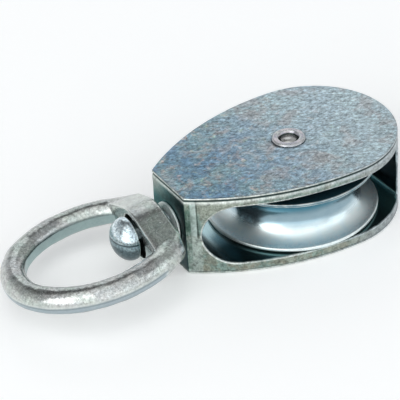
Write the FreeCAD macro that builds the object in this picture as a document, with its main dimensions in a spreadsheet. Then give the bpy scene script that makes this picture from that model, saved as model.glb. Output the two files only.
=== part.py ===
"""Single sheave swivel pulley block, zinc plated.

Row frame, millimetres: the origin is the centre of the block on the axle's axis, halfway
between the cheeks. +X points from the eye to the round crown of the frame, +Z runs up the
axle, and the rope leaves the windows along Y. The block lies on its bottom cheek, as it does
when it is laid on a bench, and the eye droops to the end of its play on the swivel stud.
"""

import FreeCAD, Part
import math
import os

import Sketcher

VZ = FreeCAD.Vector(0, 0, 1)

# How a sketch names its own origin, its axes and the points of a curve
VERTICAL_AXIS, HORIZONTAL_AXIS = range(-2, 0)
ORIGIN = HORIZONTAL_AXIS
START, END, CENTRE = range(1, 4)

# Driving sizes, in millimetres and degrees

SIZES = [
    ("block_height", 25.4, "outside of one cheek to outside of the other"),
    ("cheek_thickness", 3.35, "wall over and under the sheave"),
    ("head_room", 14.9, "sheave's rim to the flat outer face of the head"),
    ("head_half_width", 8.9, "half the width of the head's flat face"),
    ("head_wall", 3.3, "head wall where it is thinnest, on the stud's axis"),
    ("side_radius", 74.6, "long arc of each side, seen from above"),
    ("crown_inset", 0.3, "widest part of the frame inside the sheave's rim"),
    ("crown_gap", 2.1, "sheave's rim to the flat inner face of the crown wall"),
    ("crown_wall", 5.1, "that wall where it is thickest"),
    ("corner_round", 1.2, "upright corners of the head"),
    ("top_round", 0.5, "edge of the dressed top cheek"),
    ("base_round", 0.8, "edge of the cast bottom cheek"),
    ("axle_diameter", 7.9, "rivet shank that the sheave turns on"),
    ("axle_fit", 0.05, "radial clearance of the rivet in the cheeks"),
    ("axle_head_diameter", 11.8, "countersunk head, flush with the bottom cheek"),
    ("axle_head_depth", 2.0, "depth of the countersink"),
    ("curl_diameter", 10.1, "rolled end on the top cheek"),
    ("curl_height", 1.0, "height of the rolled end above the cheek"),
    ("curl_round", 0.6, "outer edge of the rolled end"),
    ("curl_lip", 0.8, "inner edge of the rolled end"),
    ("axle_bore", 5.4, "hollow end of the rivet"),
    ("axle_bore_depth", 1.0, "floor of the hollow below the cheek's face"),
    ("sheave_diameter", 50.2, "over the flanges"),
    ("rim_width", 15.9, "over both flanges at the rim"),
    ("lip_width", 1.0, "flange at its edge"),
    ("groove_depth", 6.6, "rope groove below the rim"),
    ("hub_diameter", 17.0, "raised boss on each side of the sheave"),
    ("hub_proud", 0.3, "height of that boss"),
    ("lip_round", 0.35, "softened edges of both flanges"),
    ("sheave_fit", 0.08, "radial running clearance on the rivet"),
    ("sheave_lift", 0.05, "boss above the bottom cheek as it lies"),
    ("stud_diameter", 8.0, "shank of the swivel stud"),
    ("stud_fit", 0.08, "radial running clearance in the head wall"),
    ("dome_diameter", 11.9, "rounded head of the stud inside the eye"),
    ("dome_band", 0.7, "straight edge of that head"),
    ("dome_height", 5.5, "whole height of that head"),
    ("thrust_diameter", 12.6, "washer between head and eye"),
    ("thrust_thickness", 1.3, "its thickness"),
    ("thrust_gap", 0.1, "washer off the head's face"),
    ("washer_fit", 0.15, "radial clearance of both washers on the stud"),
    ("seat_diameter", 10.6, "washer under the stud's closed end"),
    ("seat_thickness", 1.0, "its thickness"),
    ("seat_room", 0.4, "spot face around that washer"),
    ("seat_gap", 0.1, "washer off its seat in the head wall"),
    ("washer_round", 0.3, "softened rims of both washers"),
    ("upset_diameter", 9.8, "closed end of the stud, inside the frame"),
    ("upset_height", 2.0, "its height"),
    ("yoke_thickness", 8.6, "flat face to flat face, along the stud"),
    ("yoke_front_play", 1.7, "yoke to the rounded head"),
    ("yoke_back_play", 1.1, "yoke to the thrust washer"),
    ("yoke_hole", 9.8, "loose hole for the stud"),
    ("yoke_seat_diameter", 13.3, "recess in the yoke that the stud's head pulls into"),
    ("yoke_seat_depth", 2.4, "depth of that recess"),
    ("yoke_side_inset", 0.8, "yoke's sides inside the outer side of the oval"),
    ("yoke_side_height", 0.8, "height of the yoke's slopes where the oval is widest"),
    ("yoke_side_round", 1.2, "long edges where slopes and sides meet"),
    ("yoke_crest_half", 3.9, "half the width of its raised crest"),
    ("yoke_crest_height", 7.5, "crest above the eye's mid-plane"),
    ("yoke_round", 14.0, "rounded crest of the yoke"),
    ("yoke_back_round", 0.9, "edge of the yoke's face towards the frame"),
    ("bar_diameter", 7.4, "round bar of the eye"),
    ("eye_half_length", 23.3, "bar's centre line, along the stud"),
    ("eye_half_width", 20.1, "bar's centre line, across the stud"),
    ("eye_end_radius", 18.4, "bar's centre line at both ends of the oval"),
    ("eye_centre_reach", 16.8, "middle of the yoke to the middle of the oval"),
    ("eye_lean", 7.44, "angle that the loose eye droops by"),
    ("eye_lean_bearing", 37.0, "turn of the droop's hinge line away from level"),
    ("eye_roll", 5.5, "how far the eye is swivelled from level"),
]

# The same sizes as they are written in an expression
CAVITY_HALF = "(Sizes.block_height / 2 - Sizes.cheek_thickness)"
SHEAVE_RADIUS = "(Sizes.sheave_diameter / 2)"
HEAD_REACH = "(%s + Sizes.head_room)" % SHEAVE_RADIUS
CROWN_RADIUS = "(%s - Sizes.crown_inset)" % SHEAVE_RADIUS
CROWN_FLAT = "(%s + Sizes.crown_gap)" % SHEAVE_RADIUS
CROWN_OFFSET = "(%s + Sizes.crown_wall - %s)" % (CROWN_FLAT, CROWN_RADIUS)
CAVITY_ROUND = "(%s - Sizes.head_wall - %s)" % (HEAD_REACH, CAVITY_HALF)
SHEAVE_MIDDLE = "(Sizes.sheave_lift + Sizes.hub_proud + Sizes.rim_width / 2 - %s)" % CAVITY_HALF
GROOVE_HALF = "(Sizes.rim_width / 2 - Sizes.lip_width)"
GROOVE_RADIUS = "((%s ^ 2 + Sizes.groove_depth ^ 2) / (2 * Sizes.groove_depth))" % GROOVE_HALF
GROOVE_CENTRE = "(%s - Sizes.groove_depth + %s)" % (SHEAVE_RADIUS, GROOVE_RADIUS)
AXLE_RADIUS = "(Sizes.axle_diameter / 2)"
AXLE_HOLE_RADIUS = "(Sizes.axle_diameter / 2 + Sizes.axle_fit)"
STUD_RADIUS = "(Sizes.stud_diameter / 2)"
STUD_HOLE_RADIUS = "(Sizes.stud_diameter / 2 + Sizes.stud_fit)"
SEAT_PLANE = "(%s - Sizes.head_wall)" % HEAD_REACH
THRUST_PLANE = "(%s + Sizes.thrust_gap)" % HEAD_REACH
YOKE_BACK = "(%s + Sizes.thrust_thickness + Sizes.yoke_back_play)" % THRUST_PLANE
YOKE_MIDDLE = "(%s + Sizes.yoke_thickness / 2)" % YOKE_BACK
DOME_BASE = "(%s + Sizes.yoke_thickness + Sizes.yoke_front_play)" % YOKE_BACK
NEAR_END_REACH = "(Sizes.eye_centre_reach - Sizes.eye_half_length + Sizes.eye_end_radius)"
YOKE_SIDE_RADIUS = "(Sizes.eye_end_radius + Sizes.bar_diameter / 2 - Sizes.yoke_side_inset)"
UPSET_BASE = "(%s - Sizes.seat_gap - Sizes.seat_thickness - Sizes.seat_gap)" % SEAT_PLANE

doc = FreeCAD.newDocument("pulley_block")
sheet = doc.addObject("Spreadsheet::Sheet", "Sizes")
for row, (alias, value, meaning) in enumerate(SIZES, start=1):
    sheet.set("A%d" % row, meaning)
    sheet.set("B%d" % row, str(value))
    sheet.setAlias("B%d" % row, alias)
doc.recompute()

# Helpers for sketches and features


def new_body(label):
    """A body with a label of its own, which names its file."""
    body = doc.addObject("PartDesign::Body", label + "_body")
    body.Label = label
    return body


def sketch_on(body, role, name):
    """An empty sketch on one of the body's own origin planes."""
    sketch = body.newObject("Sketcher::SketchObject", name)
    plane = next(item for item in body.Origin.OriginFeatures if item.Role == role)
    sketch.AttachmentSupport = [(plane, "")]
    sketch.MapMode = "FlatFace"
    return sketch


def measured(sketch, kind, *where, to):
    """Add a distance or radius that follows an expression of the sheet."""
    value = sheet.evalExpression(to)
    index = sketch.addConstraint(Sketcher.Constraint(kind, *where, value))
    sketch.setExpression("Constraints[%d]" % index, to)


def related(sketch, *constraint):
    """Add a constraint that has no number."""
    sketch.addConstraint(Sketcher.Constraint(*constraint))


def pinned(sketch, geometry, point, across, along):
    """Hold one point of a sketch at two expressions, measured from the origin."""
    for kind, expression in (("DistanceX", across), ("DistanceY", along)):
        if expression == "0":
            axis = VERTICAL_AXIS if kind == "DistanceX" else HORIZONTAL_AXIS
            related(sketch, "PointOnObject", geometry, point, axis)
        else:
            measured(sketch, kind, ORIGIN, START, geometry, point, to=expression)


def corner_places(corners):
    """Where the corners of an outline are now, as vectors in the sketch."""
    places = []
    for across, along in corners:
        places.append(FreeCAD.Vector(sheet.evalExpression(across), sheet.evalExpression(along), 0))
    return places


def polygon(sketch, corners):
    """Closed straight outline; each corner is a pair of expressions."""
    places = corner_places(corners)
    count = len(places)
    first = sketch.GeometryCount
    for number in range(count):
        sketch.addGeometry(Part.LineSegment(places[number], places[(number + 1) % count]), False)
    for number in range(count):
        related(sketch, "Coincident", first + number, END, first + (number + 1) % count, START)
    for number, (across, along) in enumerate(corners):
        pinned(sketch, first + number, START, across, along)


def disc(sketch, radius, across="0", along="0"):
    """A full circle, held at two expressions."""
    centre = FreeCAD.Vector(sheet.evalExpression(across), sheet.evalExpression(along), 0)
    circle = sketch.addGeometry(Part.Circle(centre, VZ, sheet.evalExpression(radius)), False)
    measured(sketch, "Radius", circle, to=radius)
    pinned(sketch, circle, CENTRE, across, along)


def feature(body, kind, name, sketch=None, **settings):
    """A feature of the body, made from a sketch; text settings are expressions."""
    item = body.newObject("PartDesign::" + kind, name)
    if sketch is not None:
        item.Profile = sketch
        sketch.Visibility = False
    for key, value in settings.items():
        if isinstance(value, str) and "Sizes." in value:
            item.setExpression(key, value)
        else:
            setattr(item, key, value)
    doc.recompute()
    return item


def cut(body, kind, name, sketch, **settings):
    """A cutting feature that has to take something away."""
    before = body.Shape.Volume
    item = feature(body, kind, name, sketch, **settings)
    if body.Shape.Volume > before - 0.01:
        raise RuntimeError(name + " cut nothing")
    return item


def turned(body, name, sketch, axis):
    """A solid of revolution about one of the sketch's axes."""
    return feature(body, "Revolution", name, sketch, ReferenceAxis=(sketch, [axis]), Angle=360)


def rounded(body, name, base, radius, wanted):
    """Round the edges of a feature that a test picks by their place."""
    picked = []
    for number, edge in enumerate(base.Shape.Edges, start=1):
        if wanted(edge):
            picked.append("Edge%d" % number)
    if not picked:
        raise RuntimeError(name + " found no edge")
    return feature(body, "Fillet", name, Base=(base, picked), Radius=radius)


def edge_on(edge, axis, value):
    """Whether a whole edge lies in a plane across one axis."""
    box = edge.BoundBox
    low = {"x": box.XMin, "y": box.YMin, "z": box.ZMin}[axis]
    high = {"x": box.XMax, "y": box.YMax, "z": box.ZMax}[axis]
    return abs(low - value) < 0.01 and abs(high - value) < 0.01


# Frame: one casting, two cheeks joined by the head and by the crown wall


def side_arc():
    """Centre, tangent angle and corner angle of the long arc of one side.

    The arc starts tangent to the crown's arc and ends at the corner of the head, so its
    centre lies on the line from the tangent point through the crown's centre.
    """
    corner = FreeCAD.Vector(-sheet.evalExpression(HEAD_REACH), sheet.head_half_width, 0)
    crown_centre = FreeCAD.Vector(sheet.evalExpression(CROWN_OFFSET), 0, 0)
    between = sheet.side_radius - sheet.evalExpression(CROWN_RADIUS)
    across = crown_centre - corner
    share = (across.Length ** 2 + between ** 2 - sheet.side_radius ** 2) / (2 * between * across.Length)
    tangent_angle = math.atan2(across.y, across.x) + math.acos(share)
    inward = FreeCAD.Vector(math.cos(tangent_angle), math.sin(tangent_angle), 0)
    centre = crown_centre - inward * between
    corner_angle = math.atan2(corner.y - centre.y, corner.x - centre.x)
    return centre, tangent_angle, corner_angle


def frame_plan(sketch):
    """Outline seen from above: flat head, two long side arcs and a round crown."""
    centre, tangent_angle, corner_angle = side_arc()
    mirrored = FreeCAD.Vector(centre.x, -centre.y, 0)
    head_x = -sheet.evalExpression(HEAD_REACH)
    low_corner = FreeCAD.Vector(head_x, -sheet.head_half_width, 0)
    high_corner = FreeCAD.Vector(head_x, sheet.head_half_width, 0)
    crown_centre = FreeCAD.Vector(sheet.evalExpression(CROWN_OFFSET), 0, 0)
    side_circle = Part.Circle(centre, VZ, sheet.side_radius)
    crown_circle = Part.Circle(crown_centre, VZ, sheet.evalExpression(CROWN_RADIUS))
    far_circle = Part.Circle(mirrored, VZ, sheet.side_radius)
    head = sketch.addGeometry(Part.LineSegment(low_corner, high_corner), False)
    side = sketch.addGeometry(Part.ArcOfCircle(side_circle, tangent_angle, corner_angle), False)
    crown = sketch.addGeometry(Part.ArcOfCircle(crown_circle, -tangent_angle, tangent_angle), False)
    other = sketch.addGeometry(Part.ArcOfCircle(far_circle, -corner_angle, -tangent_angle), False)
    related(sketch, "Coincident", side, END, head, END)
    related(sketch, "Coincident", other, START, head, START)
    related(sketch, "Tangent", side, START, crown, END)
    related(sketch, "Tangent", other, END, crown, START)
    related(sketch, "Symmetric", head, START, head, END, HORIZONTAL_AXIS)
    measured(sketch, "DistanceX", head, START, ORIGIN, START, to=HEAD_REACH)
    measured(sketch, "DistanceY", head, START, head, END, to="2 * Sizes.head_half_width")
    related(sketch, "PointOnObject", crown, CENTRE, HORIZONTAL_AXIS)
    measured(sketch, "DistanceX", ORIGIN, START, crown, CENTRE, to=CROWN_OFFSET)
    measured(sketch, "Radius", crown, to=CROWN_RADIUS)
    measured(sketch, "Radius", side, to="Sizes.side_radius")
    measured(sketch, "Radius", other, to="Sizes.side_radius")


def window_outline(sketch):
    """Sheave space seen from the side: half round at the head, square at the crown."""
    half = sheet.evalExpression(CAVITY_HALF)
    round_x = -sheet.evalExpression(CAVITY_ROUND)
    flat_x = sheet.evalExpression(CROWN_FLAT)
    circle = Part.Circle(FreeCAD.Vector(round_x, 0, 0), VZ, half)
    corners = [(round_x, -half), (flat_x, -half), (flat_x, half), (round_x, half)]
    places = [FreeCAD.Vector(x, z, 0) for x, z in corners]
    arc = sketch.addGeometry(Part.ArcOfCircle(circle, math.pi / 2, 3 * math.pi / 2), False)
    low = sketch.addGeometry(Part.LineSegment(places[0], places[1]), False)
    flat = sketch.addGeometry(Part.LineSegment(places[1], places[2]), False)
    high = sketch.addGeometry(Part.LineSegment(places[2], places[3]), False)
    related(sketch, "Tangent", arc, END, low, START)
    related(sketch, "Coincident", low, END, flat, START)
    related(sketch, "Coincident", flat, END, high, START)
    related(sketch, "Tangent", high, END, arc, START)
    related(sketch, "Horizontal", low)
    related(sketch, "Vertical", flat)
    related(sketch, "Horizontal", high)
    related(sketch, "PointOnObject", arc, CENTRE, HORIZONTAL_AXIS)
    measured(sketch, "DistanceX", arc, CENTRE, ORIGIN, START, to=CAVITY_ROUND)
    measured(sketch, "Radius", arc, to=CAVITY_HALF)
    measured(sketch, "DistanceX", ORIGIN, START, flat, START, to=CROWN_FLAT)


def make_frame():
    body = new_body("frame")
    half_height = sheet.block_height / 2

    plan = sketch_on(body, "XY_Plane", "frame_plan")
    frame_plan(plan)
    block = feature(body, "Pad", "frame_block", plan, Length="Sizes.block_height", Midplane=True)
    corners = rounded(
        body, "head_corners", block, "Sizes.corner_round",
        lambda edge: abs(edge.BoundBox.ZLength - sheet.block_height) < 0.01
        and edge.BoundBox.XMax < -sheet.evalExpression(SEAT_PLANE),
    )
    top_edge = rounded(
        body, "top_edge", corners, "Sizes.top_round",
        lambda edge: edge_on(edge, "z", half_height),
    )
    rounded(
        body, "base_edge", top_edge, "Sizes.base_round",
        lambda edge: edge_on(edge, "z", -half_height),
    )

    window = sketch_on(body, "XZ_Plane", "window_outline")
    window_outline(window)
    cut(body, "Pocket", "window", window, Type="ThroughAll", Midplane=True)

    stud_hole = sketch_on(body, "YZ_Plane", "stud_hole_outline")
    disc(stud_hole, STUD_HOLE_RADIUS)
    cut(body, "Pocket", "stud_hole", stud_hole, Type="ThroughAll")

    seat = sketch_on(body, "YZ_Plane", "washer_seat_outline")
    disc(seat, "Sizes.seat_diameter / 2 + Sizes.seat_room")
    cut(body, "Pocket", "washer_seat", seat, Length=SEAT_PLANE)

    axle_hole = sketch_on(body, "XY_Plane", "axle_hole_outline")
    disc(axle_hole, AXLE_HOLE_RADIUS)
    cut(body, "Pocket", "axle_hole", axle_hole, Type="ThroughAll", Midplane=True)

    countersink = sketch_on(body, "XZ_Plane", "countersink_outline")
    polygon(countersink, [
        ("0", "-Sizes.block_height / 2"),
        ("Sizes.axle_head_diameter / 2 + Sizes.axle_fit", "-Sizes.block_height / 2"),
        (AXLE_HOLE_RADIUS, "Sizes.axle_head_depth - Sizes.block_height / 2"),
        ("0", "Sizes.axle_head_depth - Sizes.block_height / 2"),
    ])
    cut(body, "Groove", "countersink", countersink, ReferenceAxis=(countersink, ["V_Axis"]), Angle=360)
    return body


# Sheave: turned steel wheel with a half-round rope groove


def make_sheave():
    body = new_body("sheave")
    profile = sketch_on(body, "XZ_Plane", "sheave_profile")
    groove_arc(profile)
    wheel = turned(body, "wheel", profile, "V_Axis")
    rim = sheet.evalExpression(SHEAVE_RADIUS)
    rounded(
        body, "lips", wheel, "Sizes.lip_round",
        lambda edge: abs(edge.BoundBox.XMax - rim) < 0.01,
    )
    body.setExpression("Placement.Base.z", SHEAVE_MIDDLE)
    return body


def groove_arc(sketch):
    """Half section of the sheave; the groove is one arc from lip to lip."""
    bore = "Sizes.axle_diameter / 2 + Sizes.sheave_fit"
    rim = SHEAVE_RADIUS
    boss = "Sizes.hub_diameter / 2"
    half_rim = "Sizes.rim_width / 2"
    half_hub = "(Sizes.rim_width / 2 + Sizes.hub_proud)"
    corners = [
        (rim, GROOVE_HALF), (rim, half_rim), (boss, half_rim), (boss, half_hub), (bore, half_hub),
        (bore, "-" + half_hub), (boss, "-" + half_hub), (boss, "-" + half_rim),
        (rim, "-" + half_rim), (rim, "-" + GROOVE_HALF),
    ]
    places = corner_places(corners)
    for number in range(len(places) - 1):
        sketch.addGeometry(Part.LineSegment(places[number], places[number + 1]), False)
    arc_radius = sheet.evalExpression(GROOVE_RADIUS)
    arc_centre = FreeCAD.Vector(sheet.evalExpression(GROOVE_CENTRE), 0, 0)
    lip_angle = math.atan2(places[0].y, places[0].x - arc_centre.x)
    circle = Part.Circle(arc_centre, VZ, arc_radius)
    arc = sketch.addGeometry(Part.ArcOfCircle(circle, lip_angle, 2 * math.pi - lip_angle), False)
    last = len(places) - 2
    for number in range(last):
        related(sketch, "Coincident", number, END, number + 1, START)
    for number, (across, along) in enumerate(corners[:-1]):
        pinned(sketch, number, START, across, along)
    pinned(sketch, last, END, *corners[-1])
    related(sketch, "Coincident", arc, START, 0, START)
    related(sketch, "Coincident", arc, END, last, END)
    measured(sketch, "DistanceX", ORIGIN, START, arc, CENTRE, to=GROOVE_CENTRE)


# Axle: rivet with a countersunk head below and a hollow end rolled over the top cheek


def make_axle():
    body = new_body("axle_rivet")
    top = "(Sizes.block_height / 2)"
    bore = "(Sizes.axle_bore / 2)"
    curl = "(Sizes.curl_diameter / 2)"
    profile = sketch_on(body, "XZ_Plane", "axle_profile")
    polygon(profile, [
        ("0", "-" + top),
        ("Sizes.axle_head_diameter / 2", "-" + top),
        (AXLE_RADIUS, "Sizes.axle_head_depth - " + top),
        (AXLE_RADIUS, top),
        (curl, top),
        (curl, top + " + Sizes.curl_height"),
        (bore, top + " + Sizes.curl_height"),
        (bore, top + " - Sizes.axle_bore_depth"),
        ("0", top + " - Sizes.axle_bore_depth"),
    ])
    rivet = turned(body, "rivet", profile, "V_Axis")
    crest = sheet.block_height / 2 + sheet.curl_height
    outer = rounded(
        body, "curl_outside", rivet, "Sizes.curl_round",
        lambda edge: edge_on(edge, "z", crest) and edge.BoundBox.XLength > sheet.axle_diameter,
    )
    rounded(
        body, "curl_inside", outer, "Sizes.curl_lip",
        lambda edge: edge_on(edge, "z", crest) and edge.BoundBox.XLength < sheet.axle_diameter,
    )
    return body


# Swivel stud: rounded head inside the eye, shank through eye and head wall, closed end inside


def cap_radius(base, rise):
    """Radius of the sphere that a cap of this base radius and rise is cut from."""
    return "(%s ^ 2 + %s ^ 2) / (2 * %s)" % (base, rise, rise)


def make_stud():
    body = new_body("swivel_stud")
    dome = "(Sizes.dome_diameter / 2)"
    rise = "(Sizes.dome_height - Sizes.dome_band)"
    shut = "(Sizes.upset_diameter / 2)"
    tip = "(%s + Sizes.dome_height)" % DOME_BASE
    inner = "(%s - Sizes.upset_height)" % UPSET_BASE
    corners = [
        ("-(%s + Sizes.dome_band)" % DOME_BASE, dome),
        ("-" + DOME_BASE, dome),
        ("-" + DOME_BASE, STUD_RADIUS),
        ("-" + UPSET_BASE, STUD_RADIUS),
        ("-" + UPSET_BASE, shut),
    ]
    profile = sketch_on(body, "XZ_Plane", "stud_profile")
    places = corner_places(corners)
    for number in range(len(places) - 1):
        profile.addGeometry(Part.LineSegment(places[number], places[number + 1]), False)
    apex = FreeCAD.Vector(-sheet.evalExpression(tip), 0, 0)
    inside = FreeCAD.Vector(-sheet.evalExpression(inner), 0, 0)
    axis_line = profile.addGeometry(Part.LineSegment(inside, apex), False)
    last = axis_line - 1
    head_radius = cap_radius(dome, rise)
    end_radius = cap_radius(shut, "Sizes.upset_height")
    head = profile.addGeometry(quarter(apex, places[0], sheet.evalExpression(head_radius)), False)
    end = profile.addGeometry(quarter(inside, places[-1], sheet.evalExpression(end_radius)), False)
    for number in range(last):
        related(profile, "Coincident", number, END, number + 1, START)
    for number, (across, along) in enumerate(corners[:-1]):
        pinned(profile, number, START, across, along)
    pinned(profile, last, END, *corners[-1])
    pinned(profile, axis_line, START, "-" + inner, "0")
    pinned(profile, axis_line, END, "-" + tip, "0")
    related(profile, "Coincident", head, START, 0, START)
    related(profile, "Coincident", head, END, axis_line, END)
    related(profile, "Coincident", end, START, axis_line, START)
    related(profile, "Coincident", end, END, last, END)
    measured(profile, "Radius", head, to=head_radius)
    measured(profile, "Radius", end, to=end_radius)
    turned(body, "stud", profile, "H_Axis")
    return body


def quarter(apex, edge, radius):
    """Arc of a cap from its apex on the axis to its edge, with its centre on the axis."""
    side = 1 if edge.x > apex.x else -1
    centre = FreeCAD.Vector(apex.x + side * radius, 0, 0)
    apex_angle = math.atan2(apex.y - centre.y, apex.x - centre.x)
    edge_angle = math.atan2(edge.y - centre.y, edge.x - centre.x)
    circle = Part.Circle(centre, VZ, radius)
    return Part.ArcOfCircle(circle, min(apex_angle, edge_angle), max(apex_angle, edge_angle))


# Washers on the stud


def make_washer(label, diameter, thickness, place):
    """A flat ring on the stud with softened edges."""
    body = new_body(label)
    ring = sketch_on(body, "YZ_Plane", label + "_outline")
    disc(ring, diameter + " / 2")
    disc(ring, STUD_RADIUS + " + Sizes.washer_fit")
    blank = feature(body, "Pad", label + "_blank", ring, Length=thickness)
    rim = sheet.evalExpression(diameter)
    rounded(
        body, label + "_edges", blank, "Sizes.washer_round",
        lambda edge: abs(edge.BoundBox.YLength - rim) < 0.01 and edge.BoundBox.XLength < 0.01,
    )
    body.setExpression("Placement.Base.x", place)
    return body


# Eye: forged oval of round bar, closed by a thick flat-faced yoke with a loose hole


def oval_path(sketch):
    """Centre line of the bar: four tangent arcs about the middle of the oval."""
    end = sheet.eye_end_radius
    length = sheet.eye_half_length
    width = sheet.eye_half_width
    middle = -sheet.eye_centre_reach
    side = ((length - end) ** 2 + width ** 2 - end ** 2) / (2 * (width - end))
    reach = length - end
    drop = side - width
    turn = math.atan2(drop, reach)
    far = FreeCAD.Vector(middle - reach, 0, 0)
    near = FreeCAD.Vector(middle + reach, 0, 0)
    low = FreeCAD.Vector(middle, -drop, 0)
    high = FreeCAD.Vector(middle, drop, 0)
    spans = [
        (near, end, -turn, turn),
        (low, side, turn, math.pi - turn),
        (far, end, math.pi - turn, math.pi + turn),
        (high, side, math.pi + turn, 2 * math.pi - turn),
    ]
    for centre, radius, first, second in spans:
        sketch.addGeometry(Part.ArcOfCircle(Part.Circle(centre, VZ, radius), first, second), False)
    for number in range(len(spans)):
        related(sketch, "Tangent", number, END, (number + 1) % len(spans), START)
    near_arc, low_arc, far_arc, high_arc = range(len(spans))
    reach_text = "(Sizes.eye_half_length - Sizes.eye_end_radius)"
    for arc in (near_arc, far_arc):
        measured(sketch, "Radius", arc, to="Sizes.eye_end_radius")
        related(sketch, "PointOnObject", arc, CENTRE, HORIZONTAL_AXIS)
    measured(sketch, "DistanceX", near_arc, CENTRE, ORIGIN, START, to=NEAR_END_REACH)
    measured(sketch, "DistanceX", far_arc, CENTRE, ORIGIN, START,
             to="Sizes.eye_centre_reach + " + reach_text)
    side_text = "(%s ^ 2 + Sizes.eye_half_width ^ 2 - Sizes.eye_end_radius ^ 2)" % reach_text
    side_text += " / (2 * (Sizes.eye_half_width - Sizes.eye_end_radius))"
    for arc in (low_arc, high_arc):
        measured(sketch, "Radius", arc, to=side_text)


def yoke_plan(sketch):
    """The yoke from above: two flat faces, and sides that follow the outer side of the oval."""
    half = sheet.yoke_thickness / 2
    radius = sheet.evalExpression(YOKE_SIDE_RADIUS)
    centre = FreeCAD.Vector(-sheet.evalExpression(NEAR_END_REACH), 0, 0)
    back = math.acos((half - centre.x) / radius)
    front = math.acos((-half - centre.x) / radius)
    circle = Part.Circle(centre, VZ, radius)
    high_side = Part.ArcOfCircle(circle, back, front)
    low_side = Part.ArcOfCircle(circle, -front, -back)
    front_face = Part.LineSegment(high_side.EndPoint, low_side.StartPoint)
    back_face = Part.LineSegment(low_side.EndPoint, high_side.StartPoint)
    for curve in (high_side, front_face, low_side, back_face):
        sketch.addGeometry(curve, False)
    high, front_line, low, back_line = range(4)
    related(sketch, "Coincident", high, END, front_line, START)
    related(sketch, "Coincident", front_line, END, low, START)
    related(sketch, "Coincident", low, END, back_line, START)
    related(sketch, "Coincident", back_line, END, high, START)
    related(sketch, "Vertical", front_line)
    related(sketch, "Vertical", back_line)
    measured(sketch, "DistanceX", front_line, START, ORIGIN, START, to="Sizes.yoke_thickness / 2")
    measured(sketch, "DistanceX", ORIGIN, START, back_line, START, to="Sizes.yoke_thickness / 2")
    for arc in (high, low):
        related(sketch, "PointOnObject", arc, CENTRE, HORIZONTAL_AXIS)
        measured(sketch, "DistanceX", arc, CENTRE, ORIGIN, START, to=NEAR_END_REACH)
        measured(sketch, "Radius", arc, to=YOKE_SIDE_RADIUS)


def make_eye():
    body = new_body("eye")

    plan = sketch_on(body, "XY_Plane", "yoke_plan")
    yoke_plan(plan)
    high = "Sizes.yoke_crest_height"
    block = feature(body, "Pad", "yoke_block", plan, Length="2 * " + high, Midplane=True)
    slopes = sketch_on(body, "YZ_Plane", "slopes_outline")
    crest = "Sizes.yoke_crest_half"
    wide = "(Sizes.eye_half_width + Sizes.bar_diameter / 2)"
    low = "Sizes.yoke_side_height"
    for side in ("", "-"):
        for level in ("", "-"):
            polygon(slopes, [
                (side + crest, level + high), (side + wide, level + high), (side + wide, level + low),
            ])
    sloped = cut(body, "Pocket", "slopes", slopes, Type="ThroughAll", Midplane=True)
    softened = rounded(
        body, "crest_edges", sloped, "Sizes.yoke_round",
        lambda edge: abs(edge.BoundBox.XLength - sheet.yoke_thickness) < 0.01
        and abs(edge.BoundBox.YLength) < 0.01
        and abs(edge.Vertexes[0].Y) < sheet.yoke_crest_half + 0.01,
    )
    rounded(
        body, "side_edges", softened, "Sizes.yoke_side_round",
        lambda edge: abs(edge.BoundBox.XLength - sheet.yoke_thickness) < 0.05
        and abs(edge.Vertexes[0].Y) > sheet.eye_half_width / 2,
    )

    path = sketch_on(body, "XY_Plane", "oval_path")
    oval_path(path)
    section = sketch_on(body, "XZ_Plane", "bar_section")
    tip = "-(Sizes.eye_centre_reach + Sizes.eye_half_length)"
    disc(section, "Sizes.bar_diameter / 2", across=tip)
    doc.recompute()
    ring = body.newObject("PartDesign::AdditivePipe", "ring")
    ring.Profile = section
    ring.Spine = (path, ["Edge1", "Edge2", "Edge3", "Edge4"])
    doc.recompute()

    back = sketch_on(body, "XY_Plane", "back_face_outline")
    back_plane = "Sizes.yoke_thickness / 2"
    beyond = "(Sizes.yoke_thickness / 2 + Sizes.eye_half_length)"
    polygon(back, [
        (back_plane, "-Sizes.eye_half_length"), (beyond, "-Sizes.eye_half_length"),
        (beyond, "Sizes.eye_half_length"), (back_plane, "Sizes.eye_half_length"),
    ])
    faced = cut(body, "Pocket", "back_face", back, Type="ThroughAll", Midplane=True)
    rounded(
        body, "back_edges", faced, "Sizes.yoke_back_round",
        lambda edge: edge_on(edge, "x", sheet.yoke_thickness / 2),
    )

    hole = sketch_on(body, "YZ_Plane", "yoke_hole_outline")
    disc(hole, "Sizes.yoke_hole / 2")
    cut(body, "Pocket", "yoke_bore", hole, Length="2 * Sizes.yoke_thickness", Midplane=True)

    seat = sketch_on(body, "XZ_Plane", "yoke_seat_outline")
    seat_wall = "Sizes.yoke_seat_diameter / 2"
    seat_floor = "Sizes.yoke_seat_depth - Sizes.yoke_thickness / 2"
    polygon(seat, [
        ("-Sizes.yoke_thickness", "0"), ("-Sizes.yoke_thickness", seat_wall),
        (seat_floor, seat_wall), (seat_floor, "0"),
    ])
    cut(body, "Groove", "yoke_seat", seat, ReferenceAxis=(seat, ["H_Axis"]), Angle=360)

    hinge_line = "vector(0; -cos(Sizes.eye_lean_bearing); -sin(Sizes.eye_lean_bearing))"
    droop = "placement(vector(-%s; 0; 0); rotation(%s; Sizes.eye_lean))" % (YOKE_MIDDLE, hinge_line)
    swivel = "placement(vector(0; 0; 0); rotation(vector(-1; 0; 0); Sizes.eye_roll))"
    body.setExpression("Placement", droop + " * " + swivel)
    return body


# Build, check and write


def check(bodies):
    """Stop if any object failed or any piece isn't one valid solid."""
    for item in doc.Objects:
        if "Invalid" in item.State or "Error" in item.State:
            raise RuntimeError("%s failed: %s" % (item.Label, item.State))
    for body in bodies:
        shape = body.Shape
        if shape.isNull() or not shape.isValid() or len(shape.Solids) != 1:
            raise RuntimeError(body.Label + " isn't one valid solid")


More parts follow.
